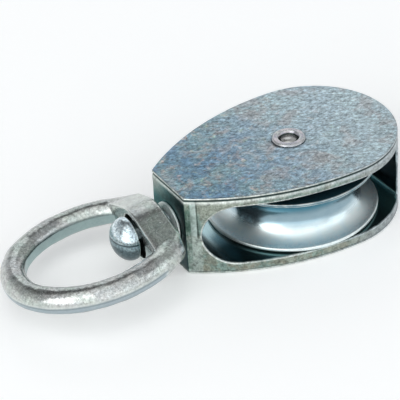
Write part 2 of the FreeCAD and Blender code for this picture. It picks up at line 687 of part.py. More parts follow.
bodies = [
    make_frame(),
    make_axle(),
    make_sheave(),
    make_stud(),
    make_washer("thrust_washer", "Sizes.thrust_diameter", "Sizes.thrust_thickness",
                "-(%s + Sizes.thrust_thickness)" % THRUST_PLANE),
    make_washer("seat_washer", "Sizes.seat_diameter", "Sizes.seat_thickness",
                "-(%s - Sizes.seat_gap)" % SEAT_PLANE),
    make_eye(),
]
doc.recompute()
check(bodies)

os.makedirs("parts", exist_ok=True)
for body in bodies:
    body.Shape.exportStep("parts/%s.step" % body.Label)
    box = body.Shape.BoundBox
    print("%-14s volume %8.1f  x %7.2f..%7.2f  y %7.2f..%7.2f  z %7.2f..%7.2f" % (
        body.Label, body.Shape.Volume, box.XMin, box.XMax, box.YMin, box.YMax, box.ZMin, box.ZMax))
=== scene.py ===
"""Swivel pulley block in zinc plated iron: frame, rivet, sheave, stud, washers and eye.

Sizes inside the shape functions are millimetres, in the same place as the frame; a mesh
gets them divided by 1000.
"""

import math
from functools import cache

import bmesh
import bpy
import numpy as np
from bpy.props import FloatProperty, FloatVectorProperty, IntProperty, PointerProperty
from mathutils import Matrix, Vector


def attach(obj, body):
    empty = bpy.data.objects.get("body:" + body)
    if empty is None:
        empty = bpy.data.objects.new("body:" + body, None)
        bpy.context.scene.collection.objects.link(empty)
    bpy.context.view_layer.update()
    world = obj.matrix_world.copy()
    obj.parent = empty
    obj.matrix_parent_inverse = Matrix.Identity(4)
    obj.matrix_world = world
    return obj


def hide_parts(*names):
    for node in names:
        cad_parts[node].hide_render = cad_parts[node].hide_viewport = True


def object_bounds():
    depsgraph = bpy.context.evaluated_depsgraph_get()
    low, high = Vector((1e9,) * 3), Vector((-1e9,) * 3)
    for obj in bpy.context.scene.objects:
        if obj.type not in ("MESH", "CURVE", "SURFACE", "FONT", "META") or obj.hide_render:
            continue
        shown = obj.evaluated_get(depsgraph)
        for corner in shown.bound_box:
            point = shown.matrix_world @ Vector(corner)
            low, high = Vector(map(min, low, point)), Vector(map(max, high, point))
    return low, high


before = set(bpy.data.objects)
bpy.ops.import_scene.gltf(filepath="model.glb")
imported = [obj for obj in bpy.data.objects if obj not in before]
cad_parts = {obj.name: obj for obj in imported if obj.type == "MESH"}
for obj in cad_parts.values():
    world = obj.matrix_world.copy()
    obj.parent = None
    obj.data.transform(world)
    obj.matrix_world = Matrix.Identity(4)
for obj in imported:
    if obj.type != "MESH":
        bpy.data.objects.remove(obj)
CAD_BOX = [list(corner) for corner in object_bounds()]

bl_info = {
    "name": "Swivel Pulley Block",
    "version": (1, 0, 0),
    "blender": (4, 5, 0),
    "location": "View3D > Sidebar > Pulley",
    "description": "Zinc plated swivel pulley block with a cast frame, a turned sheave and a forged eye",
    "category": "Object",
}

MM = 0.001
METAL = 0.92

# Places that the frame fixes: half the cheeks' outside, the flat head and its inner face, the
# crown wall's inner face, and the arcs of the sides and the crown
TOP = 12.7
HEAD_FACE, HEAD_INNER, HEAD_HALF = -40.0, -36.7, 8.9
CROWN_FACE, CROWN_RADIUS = 27.2, 24.8
CROWN_MIDDLE = np.array([7.5, 0.0])
SIDE_RADIUS = 74.6

# Side window: half height, middle and reach of its oval end, fillet of its square end, and how
# far its upper edge falls towards the crown
WINDOW, WINDOW_MIDDLE, WINDOW_REACH = 9.35, -27.35, 8.7
FILLET, LIP = 0.6, 0.4

# Axle's hole, its countersink and the depths of both; fine groove beside the head corners
AXLE_HOLE, SINK_HOLE, SINK_DEPTH, HOLE_DEPTH = 4.0, 5.95, 10.7, 10.0
FINE_GROOVE = -37.2

# Sheave: how far it sits below the middle, half its boss, half its rim, and the groove's arc
SHEAVE_DROP, BOSS, RIM, RIM_RADIUS = -1.05, 8.25, 7.95, 25.09
GROOVE_RADIUS, GROOVE_MIDDLE = 6.96, 25.46

# Eye: its place on the stud, the bar's radius, where the trimmed lands end inside and outside,
# the yoke's front, the stud's hole and the round recess for its head
EYE_PLACE, BAR, LAND_IN, LAND_OUT = -46.8, 3.7, 1.25, 0.15
YOKE_FRONT, STUD_HOLE, RECESS = -4.3, 4.9, 6.65


# ---- What a user would change ----


def length(name, text, mm, low, high):
    """One length property, stored in metres."""
    return FloatProperty(
        name=name, description=text, default=mm * MM, min=low * MM, max=high * MM,
        subtype="DISTANCE", unit="LENGTH", precision=5,
    )


def colour(name, text, value):
    """One colour property, linear red, green and blue."""
    return FloatVectorProperty(
        name=name, description=text, default=value, size=3, min=0.0, max=1.0, subtype="COLOR"
    )


class PulleySizes(bpy.types.PropertyGroup):
    """Small sizes of the pieces that the finish adds to the frame's own."""

    head_corner: length("Head corners", "Round on the upright corners of the head", 1.2, 0.3, 2.5)
    window_round: length("Window edge", "Round on the edge of each side window", 0.45, 0.1, 0.8)
    cast_wave: length("Casting waviness", "How far the cast sides swell and sink", 0.05, 0, 0.2)
    forge_wave: length(
        "Forging waviness", "How far the bar of the eye swells and sinks", 0.06, 0, 0.2
    )
    eye_cell: length("Eye mesh", "Size of one cell of the eye's mesh", 0.28, 0.2, 1.0)
    turned_steps: IntProperty(
        name="Turned steps", description="Flats round each turned piece", default=192, min=32, max=512
    )


class PulleyColours(bpy.types.PropertyGroup):
    """Colours of the zinc on the pieces."""

    blue_zinc: colour(
        "Blue zinc", "Blue of the passivated zinc on the dressed cheek", (0.155, 0.265, 0.38)
    )
    teal_zinc: colour("Teal zinc", "Second colour of the passivated zinc", (0.22, 0.335, 0.37))
    pale_zinc: colour("Pale zinc", "Pale film near the round end", (0.49, 0.58, 0.615))
    cast_zinc: colour("Cast zinc", "Zinc over the cast sides", (0.30, 0.335, 0.285))
    # Painted shade for the flat face of the head
    head_shade_zinc: colour("Head shade", "Painted shade over the zinc on the flat face of the head", (0.013, 0.046, 0.05))
    turned_zinc: colour("Turned zinc", "Bright zinc on the turned sheave", (0.74, 0.85, 0.90))
    forged_zinc: colour("Forged zinc", "Zinc on the forged eye", (0.52, 0.57, 0.53))
    # Colour of the edges: wear with a painted highlight
    wear_and_highlight_zinc: colour("Wear and highlight zinc", "Edges polished by handling, with a painted highlight", (0.74, 0.78, 0.75))
    floor_white: colour("Floor", "Plain pale floor", (0.95, 0.95, 0.95))


# ---- Mesh helpers ----


def stack(*parts):
    """Joins coordinates into points; a plain number counts for every point."""
    return np.stack(np.broadcast_arrays(*parts), axis=-1)


def raised(plan, level):
    """Points at a level over the places (x, y) of a plan."""
    return stack(plan[..., 0], plan[..., 1], level)


def unit(way):
    """Directions of length one."""
    return way / np.linalg.norm(way, axis=-1, keepdims=True)


def ease(t):
    """From nothing to one with a soft start and end."""
    t = np.clip(t, 0, 1)
    return t**2 * (3 - 2 * t)


def bell(gap, width):
    """One at no gap, a third at the width."""
    return np.exp(-((gap / width) ** 2))


def grid_faces(rows, columns, wrap=False):
    """Four corners of every cell of a grid of points, numbered row by row; wrap joins the
    last column to the first."""
    index = np.arange(rows * columns).reshape(rows, columns)
    if wrap:
        index = np.c_[index, index[:, 0]]
    return stack(index[:-1, :-1], index[:-1, 1:], index[1:, 1:], index[1:, :-1]).reshape(-1, 4)


def read_mesh(mesh, key):
    """The places or the directions of all points of a mesh."""
    values = np.zeros(len(mesh.vertices) * 3, np.float32)
    mesh.vertices.foreach_get(key, values)
    return values.reshape(-1, 3).astype(float)


def add_object(name, data):
    """An object with this data, linked to the scene."""
    made = bpy.data.objects.new(name, data)
    bpy.context.scene.collection.objects.link(made)
    return made


def make_mesh(name, points, faces, masks, weld=2e-6, turn_out=True):
    """A mesh object at the origin from points in millimetres, four-cornered faces and one
    array of values per named mask; meeting points are joined and faces turned outwards."""
    mesh = bpy.data.meshes.new(name)
    mesh.vertices.add(len(points))
    mesh.vertices.foreach_set("co", (points * MM).astype(np.float32).ravel())
    mesh.loops.add(faces.size)
    mesh.loops.foreach_set("vertex_index", faces.astype(np.int32).ravel())
    mesh.polygons.add(len(faces))
    mesh.polygons.foreach_set("loop_start", np.arange(0, faces.size, 4, dtype=np.int32))
    mesh.update(calc_edges=True)
    for mask, values in masks.items():
        layer = mesh.attributes.new(mask, "FLOAT", "POINT")
        layer.data.foreach_set("value", values.astype(np.float32).ravel())
    work = bmesh.new()
    work.from_mesh(mesh)
    if weld:
        bmesh.ops.remove_doubles(work, verts=work.verts, dist=weld)
        bmesh.ops.dissolve_degenerate(work, edges=work.edges, dist=weld / 4)
    if turn_out:
        bmesh.ops.recalc_face_normals(work, faces=work.faces)
    work.to_mesh(mesh)
    work.free()
    mesh.validate()
    mesh.shade_smooth()
    mesh.update()
    return add_object(name, mesh)


def arc_rows(start, stop, middle, steps):
    """Points on an arc about middle from start to stop, one row per step."""
    a, b = start - middle, stop - middle
    span = np.arccos(np.clip((unit(a) * unit(b)).sum(-1, keepdims=True), -1, 1))
    t = np.linspace(0, 1, steps + 1)[:, None, None]
    return middle + (np.sin((1 - t) * span) * a + np.sin(t * span) * b) / np.sin(span)


def rounded_line(corners, steps, near, closed):
    """A profile through the corners (radius, height, round), each corner with a round given
    as an arc that meets both runs; near adds a point on each run beside an arc. Returns the
    points and a mask that is one on the arcs."""
    spots = np.array([corner[:2] for corner in corners], float)
    line, mask = [], []
    count = len(corners)
    for i, (*_, soft) in enumerate(corners):
        here = spots[i]
        if not soft or (not closed and i in (0, count - 1)):
            line.append([here])
            mask.append([0])
            continue
        back, ahead = unit(spots[i - 1] - here), unit(spots[(i + 1) % count] - here)
        half = math.acos(np.clip(back @ ahead, -1, 1)) / 2
        reach = soft / math.tan(half)
        middle = here + unit(back + ahead) * soft / math.sin(half)
        arc = arc_rows(here + back * reach, here + ahead * reach, middle, steps)[:, 0]
        line += [[here + back * (reach + near)], arc, [here + ahead * (reach + near)]]
        mask += [[0], np.ones(steps + 1), [0]]
    return np.concatenate(line), np.concatenate(mask)


def turned(name, corners, arcs=4, near=0.05, steps=None, along_x=False, closed=False, shift=0.0):
    """A turned piece: each point (radius, height) of the rounded line goes round the axis, at
    the angle a, to (radius cos a, radius sin a, height), or with the height along X."""
    line, mask = rounded_line(corners, arcs, near, closed)
    steps = steps or bpy.context.scene.pulley_sizes.turned_steps
    angle = np.linspace(0, 2 * math.pi, steps, endpoint=False)
    radius, height = line[:, :1], line[:, 1:] + shift
    across, up = radius * np.cos(angle), radius * np.sin(angle)
    points = stack(height, across, up) if along_x else stack(across, up, height)
    if closed:
        points, mask = np.r_[points, points[:1]], np.r_[mask, mask[0]]
    faces = grid_faces(len(points), steps, wrap=True)
    return make_mesh(name, points.reshape(-1, 3), faces, {"edge": np.repeat(mask, steps)})


def waves(points, size, seed, count=10):
    """Smooth lumps between about -1 and 1: the mean of plane waves whose directions and
    phases come from the seed and whose lengths are near size."""
    rng = np.random.default_rng(seed)
    way = unit(rng.normal(size=(count, 3)))
    way *= 2 * math.pi / (size * rng.uniform(0.6, 1.8, (count, 1)))
    phase = rng.uniform(0, 2 * math.pi, count)
    return np.sin(points @ way.T + phase).sum(-1) / math.sqrt(count)


def carve(piece, cutter):
    """Cuts one closed mesh out of another and keeps the result as plain mesh."""
    step = piece.modifiers.new("cut", "BOOLEAN")
    step.operation, step.solver, step.object = "DIFFERENCE", "EXACT", cutter
    graph = bpy.context.evaluated_depsgraph_get()
    done = bpy.data.meshes.new_from_object(piece.evaluated_get(graph))
    piece.modifiers.clear()
    piece.data = done
    bpy.data.objects.remove(cutter)
    done.shade_smooth()


# ---- Frame ----


class Outline:
    """Half of the frame's outline from above, from the middle of the head to the tip of the
    crown: a flat, a corner round, the long side arc and the crown's arc, each tangent to the
    next. A point is found from its distance s along the line."""

    def __init__(self, corner):
        gap = SIDE_RADIUS - CROWN_RADIUS
        run = np.array([HEAD_FACE, HEAD_HALF]) - CROWN_MIDDLE
        reach = np.linalg.norm(run)
        run /= reach
        along = (gap**2 - SIDE_RADIUS**2 + reach**2) / (2 * reach)
        off = math.sqrt(gap**2 - along**2)
        self.side = CROWN_MIDDLE + along * run + off * np.array([-run[1], run[0]])
        x = HEAD_FACE + corner
        rise = math.sqrt((SIDE_RADIUS - corner) ** 2 - (x - self.side[0]) ** 2)
        self.corner, self.round = corner, np.array([x, self.side[1] + rise])
        self.a0, self.a1 = (
            math.atan2(*(spot - self.side)[::-1]) for spot in (self.round, CROWN_MIDDLE)
        )
        self.meet_x = CROWN_MIDDLE[0] + CROWN_RADIUS * math.cos(self.a1)
        self.ends = np.cumsum([
            self.round[1], corner * (math.pi - self.a0), SIDE_RADIUS * (self.a0 - self.a1),
            CROWN_RADIUS * self.a1,
        ])

    def place(self, s):
        """Points and outward directions at the distances s."""
        first, second, third, _ = self.ends
        parts = [s < first, s < second, s < third]
        angle = np.select(
            parts,
            [
                np.full_like(s, math.pi), math.pi - (s - first) / self.corner,
                self.a0 - (s - second) / SIDE_RADIUS,
            ],
            self.a1 - (s - third) / CROWN_RADIUS,
        )
        out = stack(np.cos(angle), np.sin(angle))
        points = np.select(
            [part[:, None] for part in parts],
            [stack(HEAD_FACE, s), self.round + self.corner * out, self.side + SIDE_RADIUS * out],
            CROWN_MIDDLE + CROWN_RADIUS * out,
        )
        return points, out

    def at_x(self, x):
        """The points of the side or the crown at x, with their outward directions."""
        on_side = x < self.meet_x
        middle = np.where(on_side[:, None], self.side, CROWN_MIDDLE)
        radius = np.where(on_side, SIDE_RADIUS, CROWN_RADIUS)
        rise = np.sqrt(np.maximum(radius**2 - (x - middle[:, 0]) ** 2, 0))
        points = stack(x, middle[:, 1] + rise)
        return points, unit(points - middle)

    def distance(self, points):
        """How far along the line the points of the side or the crown are."""
        on_side = points[:, 0] < self.meet_x
        x, y = (points - np.where(on_side[:, None], self.side, CROWN_MIDDLE)).T
        angle = np.arctan2(y, x)
        return np.where(
            on_side,
            self.ends[1] + SIDE_RADIUS * (self.a0 - angle),
            self.ends[2] + CROWN_RADIUS * (self.a1 - angle),
        )


# The rim of each cheek from its face down: how far in from the outline, how far below the face, then the
# masks of the polished edge, which takes wear and a painted highlight, and of the line of painted shade
# under it
RIM_TOP = np.array([
    (0.36, 0, 0.8, 0), (0.26, 0.03, 1, 0), (0.17, 0.14, 1, 0), (0.12, 0.32, 1, 0),
    (0.13, 0.48, 0.6, 0.2), (0.20, 0.56, 0.1, 1), (0.32, 0.64, 0, 1), (0.40, 0.76, 0, 1),
    (0.39, 0.94, 0, 1), (0.31, 1.08, 0, 1), (0.21, 1.22, 0.6, 0.2), (0.13, 1.40, 1, 0),
    (0.06, 1.66, 0.8, 0), (0.02, 1.95, 0.4, 0), (0, 2.25, 0.1, 0),
])
RIM_BASE = np.array([
    (0.8, 0, 0, 0), (0.55, 0.04, 0.3, 0), (0.33, 0.15, 0.6, 0), (0.16, 0.33, 0.8, 0),
    (0.05, 0.57, 1, 0), (0.01, 0.80, 0.8, 0.3), (0.05, 0.92, 0, 0.9), (0.01, 1.05, 0.2, 0.3),
    (0, 1.2, 0.2, 0),
])

# Where the rows lie: shares of the way across the cavity, down the wall and over the cheek,
# and millimetres before the cheek's edge
CAVE_ROWS = 1 - np.r_[0, 0.012, 0.03, np.linspace(0.06, 1, 18)][:, None]
WALL_ROWS = np.r_[0, 0.04, 0.12, np.linspace(0.22, 0.9, 8), 0.95, 0.975, 0.99, 1][:, None]
CHEEK_ROWS = np.linspace(0, 0.9, 16)[:, None]
CHEEK_ENDS = np.array([1.0, 0.5, 0.225, 0.075, 0.0])[:, None]


def frame_quarter(line, window, up):
    """The surface of one quarter of the frame, y above 0 on the side of z given by up.

    Stations run along the outline. At each, rows go from the rivet's hole over the cheek,
    round the edge, down the wall to the window's edge, round it, and across the cavity to
    the middle plane. The window's edge is where the side meets a prism along Y whose section
    is half an ellipse, two flats, a fillet and the crown wall's face. A round between two
    faces with outward directions n and m has its centre at the edge less
    radius (n + m) / (1 + n.m)."""
    patches = []

    # Masks: the edge takes wear and a painted highlight, the line under the rim takes painted shade, and
    # the cavity's mask takes painted shade
    def add(points, edge=0.0, under=0.0, shaded_hollow=0.0):
        masks = [np.broadcast_to(mask, points.shape[:2]) for mask in (edge, under, shaded_hollow)]
        patches.append((points, *masks))

    # Section of the window and the directions that face it
    theta = np.linspace(0, math.pi / 2, 24)
    phi = np.linspace(0, math.pi / 2, 8)
    sink = LIP * up
    flat_x = np.linspace(WINDOW_MIDDLE, CROWN_FACE - FILLET, 70)[1:-1]
    drop_z = np.linspace(WINDOW - FILLET - sink, 0, 12)[1:]
    fillet_x, fillet_z = FILLET * np.sin(phi), FILLET * np.cos(phi)
    section = np.r_[
        stack(WINDOW_MIDDLE - WINDOW_REACH * np.cos(theta), WINDOW * np.sin(theta)),
        stack(flat_x, WINDOW - sink * ease((flat_x + 6) / 26)),
        stack(CROWN_FACE - FILLET + fillet_x, WINDOW - FILLET - sink + fillet_z),
        stack(CROWN_FACE, drop_z),
    ]
    inward = np.r_[
        unit(stack(np.cos(theta) / WINDOW_REACH, -np.sin(theta) / WINDOW)),
        stack(0 * flat_x, -1.0), stack(-np.sin(phi), -np.cos(phi)), stack(-1.0, 0 * drop_z),
    ]

    # Window's round, and the cavity, which runs straight along Y
    spot, out = line.at_x(section[:, 0])
    n, m = raised(out, 0.0), stack(inward[:, 0], 0.0, inward[:, 1])
    share = (n * m).sum(-1, keepdims=True)
    middle = raised(spot, section[:, 1]) - window * (n + m) / (1 + share)
    wall_end, cave_end = middle + window * n, middle + window * m
    s_end = line.distance(wall_end[:, :2])
    wall_end[:, :2] = line.place(s_end)[0]
    add(arc_rows(wall_end, cave_end, middle, 5), edge=1.0, shaded_hollow=np.linspace(0, 1, 6)[:, None])
    x, y, z = cave_end.T
    add(stack(x, y * CAVE_ROWS, z), edge=CAVE_ROWS > 0.995, shaded_hollow=1.0)

    # Wall from the rim to the window's edge, and beyond the window at the crown
    last = len(section) - len(drop_z) - 1
    head_s = np.r_[
        np.linspace(0, line.ends[0], 10)[:-1], np.linspace(*line.ends[:2], 9)[:-1],
        np.linspace(line.ends[1], s_end[0], 8)[:-1],
    ]
    near_s = np.r_[head_s, s_end[:last + 1]]
    far_s = np.linspace(s_end[last], line.ends[3], 30)
    rim_inset, rim_depth, rim_edge, rim_shade_line = (RIM_TOP if up else RIM_BASE).T[..., None]
    start_z = TOP - rim_depth[-1, 0]

    def wall(s, low_z):
        return raised(line.place(s)[0], start_z + (low_z - start_z) * WALL_ROWS)

    low_z = np.r_[0 * head_s, wall_end[:last + 1, 2]]
    at_window = np.arange(len(near_s)) >= len(head_s)
    add(wall(near_s, low_z), edge=(WALL_ROWS > 0.99) & at_window)
    first = np.arange(len(far_s)) == 0
    add(wall(far_s, low_z[-1]), edge=(WALL_ROWS > 0.9) & first)
    below = np.r_[low_z[-1], drop_z][:, None]
    add(raised(line.place(far_s)[0], below), edge=first)

    # Round at the cheek's edge, then the cheek inwards to the rivet's hole
    xy, out = line.place(np.r_[near_s, far_s[1:]])
    rim = xy - rim_inset[..., None] * out
    add(raised(rim, TOP - rim_depth), edge=rim_edge, under=rim_shade_line)
    hole = AXLE_HOLE if up else SINK_HOLE
    way = unit(rim[0])
    start = hole * way
    reach = np.linalg.norm(rim[0] - start, axis=1)
    t = np.sort(np.r_[CHEEK_ROWS + 0 * reach, 1 - CHEEK_ENDS / reach], axis=0)
    add(raised(start + (rim[0] - start) * t[..., None], TOP), edge=(t == 1) * rim_edge[0])

    # Seat of the rivet: a straight hole above, a countersink below, both blind
    radius, level = np.array([
        (hole, TOP), (AXLE_HOLE, TOP if up else SINK_DEPTH), (AXLE_HOLE, HOLE_DEPTH), (0, HOLE_DEPTH)
    ]).T[..., None]
    add(raised(radius[..., None] * way, level))
    return patches


def frame_surface(sizes):
    """The whole frame: four quarters, mirrored across the middle planes and joined."""
    line = Outline(sizes.head_corner / MM)
    points, faces, masks, count = [], [], [], 0
    for up in (1, 0):
        for patch, *given in frame_quarter(line, sizes.window_round / MM, up):
            for side in (1, -1):
                points.append((patch * (1, side, 1 if up else -1)).reshape(-1, 3))
                faces.append(grid_faces(*patch.shape[:2]) + count)
                masks.append(np.stack([mask.ravel() for mask in given]))
                count += len(points[-1])
    # Edge: wear and painted highlight; line: painted shade under the rim; the last: painted shade in the
    # cavity
    masks = dict(zip(("edge", "line", "shaded_hollow"), np.concatenate(masks, axis=1)))
    piece = make_mesh("frame_cast", np.concatenate(points), np.concatenate(faces), masks)
    seat = [(0, -41), (4.08, -41), (4.08, HEAD_INNER), (5.7, HEAD_INNER), (5.7, -30), (0, -30)]
    carve(piece, turned("stud_seat", [(*spot, 0) for spot in seat], steps=96, along_x=True))
    settle(piece, sizes.cast_wave / MM)
    return piece


def settle(piece, amount):
    """Lets the cast sides swell and sink along their own directions by smooth lumps, with a
    step and a fine groove at the head corners and a low ridge round the head; the dressed
    faces, the holes and the cavity stay true."""
    mesh = piece.data
    points, way = read_mesh(mesh, "co") / MM, read_mesh(mesh, "normal")
    x, y, z = points.T
    side = np.clip(1 - np.abs(way[:, 2]) * 1.2, 0, 1) * np.clip((12.4 - np.abs(z)) / 0.8, 0, 1)
    cast = side * (np.hypot(x, y) > 8)
    outside = (np.abs(way[:, 1]) > 0.5) * (y * way[:, 1] > 0) * side
    start, stop = np.where(z > 0.2, -38.8, -38.9), np.where(z > 0.2, -38.3, -36.6)
    move = (waves(points, 9.0, 4) - 1.2) * cast * amount
    move -= outside * 0.16 * (1 - ease((x - start) / (stop - start)))
    move -= outside * 0.10 * bell(x - FINE_GROOVE, 0.18) * (z > 0)
    move += cast * 0.07 * bell(z, 0.22) * (x < -37.8)
    points += way * move[:, None]
    mesh.vertices.foreach_set("co", (points * MM).astype(np.float32).ravel())
    mesh.update()


# ---- Turned pieces ----


def sheave_surface():
    """Sheave: a hub, two flat webs, two thin lips and a groove whose section is an arc about
    a centre just outside the rim."""
    sweep = np.linspace(-1, 1, 41)[2:-2] * math.asin(6.95 / GROOVE_RADIUS)
    groove = [
        (GROOVE_MIDDLE - GROOVE_RADIUS * math.cos(a), GROOVE_RADIUS * math.sin(a), 0) for a in sweep
    ]
    corners = [
        (4.03, -BOSS, 0.2), (8.5, -BOSS, 0.15), (8.75, -RIM, 0.1), (RIM_RADIUS, -RIM, 0.35),
        (RIM_RADIUS, -6.95, 0.5), *groove, (RIM_RADIUS, 6.95, 0.4), (RIM_RADIUS, RIM, 0.35),
        (8.75, RIM, 0.1), (8.5, BOSS, 0.15), (4.03, BOSS, 0.2),
    ]
    return turned("sheave_turned", corners, 5, 0.08, closed=True, shift=SHEAVE_DROP)


def rivet_surface():
    """Rivet: a flat rolled-over ring with a shallow hollow and a groove round its floor, a
    shank, and a flush countersunk head below."""
    corners = [
        (0, 12.78, 0), (2.3, 12.74, 0), (2.4, 12.4, 0), (2.6, 12.4, 0), (2.7, 12.8, 0),
        (3.2, 13.44, 0.4), (4.5, 13.4, 0.4), (4.84, 13.0, 0.2), (4.8, 12.76, 0.06), (4.6, 12.72, 0.1),
        (3.95, 12.72, 0), (3.95, -10.7, 0), (5.88, -12.68, 0.08), (0, -12.7, 0),
    ]
    return turned("rivet_rolled", corners, 6, 0.06)


def stud_surface():
    """Stud along X: a domed head whose section is a quarter of an ellipse over a short
    straight band, a shank and a low domed closed end."""
    sweep = np.linspace(0, math.pi / 2, 26)
    dome = [(6.3 * math.sin(a), -53.5 - 4.8 * math.cos(a), 0) for a in sweep]
    closed_end = [(4.9 * math.sin(a), -35.5 + 2.0 * math.cos(a), 0) for a in sweep[-2::-1]]
    shank = [(6.28, -52.82, 0.25), (4.0, -52.8, 0), (4.0, -35.5, 0), (4.88, -35.48, 0)]
    return turned("stud_forged", dome + shank + closed_end, along_x=True)


def washer_surface(name, inner, outer, start, stop, soft, slope=0.0):
    """Washer along X: a ring with rounded edges, its outer half sloping back by slope."""
    corners = [
        (inner, start, soft / 2), (outer * 0.8, start + 0.01, soft), (outer, start + slope, soft),
        (outer, stop, soft / 2), (inner, stop, soft / 2),
    ]
    return turned(name, corners, along_x=True, closed=True)


# ---- Eye ----


def round_max(a, b, r):
    """The larger of two distances, with an arc of radius r where both faces meet outside."""
    return np.minimum(np.maximum(a, b), -r) + np.hypot(np.maximum(a + r, 0), np.maximum(b + r, 0))


def round_min(a, b, r):
    """The smaller of two distances, with an arc of radius r in the hollow between them."""
    return -round_max(-a, -b, r)


def oval_distance(x, y):
    """How far a point is outside the middle line of the bar, seen from above: two end arcs of
    18.4 mm and two side arcs of 26.31 mm; the near half is drawn out by a fortieth."""
    fx, fy = np.abs(x + 16.8), np.where(y < 0, -y * 0.975, y)
    end = np.hypot(fx - 4.9, fy) - 18.4
    side = np.hypot(fx, fy + 6.21) - 26.31
    return np.where(np.arctan2(fy, fx - 4.9) < math.radians(51.7), end, side)


def crest_height(y):
    """Half the yoke's height: an arc of 14 mm across the middle, then a straight slope."""
    fy = np.abs(y)
    arc = np.sqrt(np.maximum(14.0**2 - y**2, 1)) - 5.946
    return np.where(fy < 3.9, arc, 7.5 - (fy - 3.9) * 0.3367)


def behind_front(x, y):
    """How far a point is behind the yoke's front, which slants by 0.09 beyond y = 7."""
    return x - YOKE_FRONT + 0.09 * np.clip(y - 7, 0, 12)


def eye_distance(p, wave):
    """How far the points p are outside the eye, in its own place, below nothing inside.

    The bar is all that lies within its radius of an oval of four arcs, with the flat lands
    that trimming leaves below its seam. The yoke lies between two planes, inside a circle
    seen from above and under a crest with two slopes. They blend, and the stud's hole and
    the round recess for its head are taken out."""
    x, y, z = p[..., 0], p[..., 1], p[..., 2]
    across = oval_distance(x, y)
    land = np.where(across < 0, z - LAND_IN, z - LAND_OUT)
    land = round_max(round_max(np.abs(across) - 3.52, -z - 2.25, 0.9), land, 0.4)
    bar = round_min(np.hypot(across, z) - BAR, land, 0.35)
    bar = np.maximum(bar, -across - 3.62)
    bar = bar - wave * (waves(p, 8.0, 11, 12) - 1.0) - 0.35 * wave * (waves(p, 2.2, 12, 10) - 0.6)
    top = (np.abs(z) - crest_height(y)) * 0.95
    yoke = round_max(top, np.hypot(x + 11.9, y) - 21.3, 1.2)
    yoke = round_max(yoke, -behind_front(x, y), 0.3)
    body = round_max(round_min(bar, yoke, 0.5), x + YOKE_FRONT, 0.9)
    off = np.hypot(y, z)
    hole = np.maximum(off - STUD_HOLE, -x - 9)
    recess = np.maximum(np.maximum(off - RECESS, x + 1.9), -x - 9)
    return round_max(round_max(body, -hole, 0.2), -recess, 0.15)


def net_surface(distance, low, high, cell):
    """Points and four-cornered faces where distance is nothing: one point in every cell of a
    grid that the surface crosses, drawn on to the surface along its slope, and one face
    across every grid edge that changes sign."""
    axes = [np.arange(a, b + cell, cell) for a, b in zip(low, high)]
    inside = distance(stack(*np.meshgrid(*axes, indexing="ij"))) < 0
    shape = np.array(inside.shape) - 1
    total = np.zeros(shape, int)
    for corner in np.ndindex(2, 2, 2):
        total += inside[tuple(slice(c, c + n) for c, n in zip(corner, shape))]
    crossed = (total > 0) & (total < 8)
    number = np.full(shape, -1)
    number[crossed] = np.arange(crossed.sum())
    points = np.array(low) + (np.argwhere(crossed) + 0.5) * cell
    step = cell * 0.05
    for _ in range(4):
        gap = distance(points)
        rise = (distance(points + way) - distance(points - way) for way in step * np.eye(3))
        slope = stack(*rise) / (2 * step)
        size = np.maximum((slope**2).sum(-1), 0.2)
        points -= np.clip(slope * (gap / size)[:, None], -0.5 * cell, 0.5 * cell)
    faces = []
    for k in range(3):
        here = [slice(1, n) for n in shape]
        here[k] = slice(0, shape[k])
        ahead = list(here)
        ahead[k] = slice(1, shape[k] + 1)
        start, stop = inside[tuple(here)], inside[tuple(ahead)]
        where = np.argwhere(start != stop) + [part.start for part in here]
        a, b = np.roll(np.eye(3, dtype=int), -k - 1, axis=0)[:2]
        ring = stack(*(number[tuple((where - back).T)] for back in (a + b, b, 0 * a, a)))
        faces.append(np.where(start[start != stop][:, None], ring, ring[:, ::-1]))
    return points, np.concatenate(faces)


def placed_eye(points):
    """From the eye's own place to the block: a roll of 5.5 degrees about -X, a lean of 7.44
    degrees about the bearing of 37 degrees, then along X to the stud."""
    roll = Matrix.Rotation(math.radians(5.5), 3, Vector((-1, 0, 0)))
    bearing = math.radians(37.0)
    lean = Matrix.Rotation(math.radians(7.44), 3, Vector((0, -math.cos(bearing), -math.sin(bearing))))
    return points @ np.array(lean @ roll).T + (EYE_PLACE, 0, 0)


def eye_surface(sizes):
    """The eye, meshed in its own place and then leaned and rolled as it hangs, with masks for its
    polished edges (wear and a painted highlight), seam (with painted shade under the outer land), lands,
    foot (painted shade on the underside) and recess (painted shade)."""
    wave = sizes.forge_wave / MM
    points, faces = net_surface(
        lambda p: eye_distance(p, wave), (-44.6, -24.6, -8.8), (5.2, 24.8, 8.8), sizes.eye_cell / MM
    )
    x, y, z = points.T
    across, off = oval_distance(x, y), np.hypot(y, z)
    rim = bell(x - YOKE_FRONT, 0.45) * bell(off - RECESS, 0.5)
    ridge = 1.5 * bell(np.abs(z) - crest_height(y), 0.7) * bell(behind_front(x, y), 0.55)
    level, loop = np.where(across < 0, LAND_IN, LAND_OUT), x < -4
    seam = bell(z - level, 0.32) * (np.abs(across) > 2.5) * loop
    # Painted shade under the outer land's step
    under = bell(z - level + 0.55, 0.25) * (across > 2.5) * loop
    flat = np.clip((level - z) / 0.3, 0, 1) * np.clip((np.abs(across) - 3.1) / 0.25, 0, 1) * loop
    masks = {
        # The edge mask also paints a highlight along the yoke's crest and front
        "edge": np.clip(rim + ridge + seam * (across > 0), 0, 1),
        "seam": seam * (across < 0) + 0.6 * under,
        "land": flat * (across < 0),
        "rim": flat * (across > 0),
        # Painted shade in the recess for the stud's head
        "shaded_hollow": (off < 6.72) * (x < -1.4) * (x > -8),
        # Painted shade on the underside of the bar
        "foot": np.clip((-1.1 - z) / 1.5, 0, 1) * (across > 0) * loop,
    }
    return make_mesh("eye_forged", placed_eye(points), faces, masks, weld=0)


# ---- Finishes ----


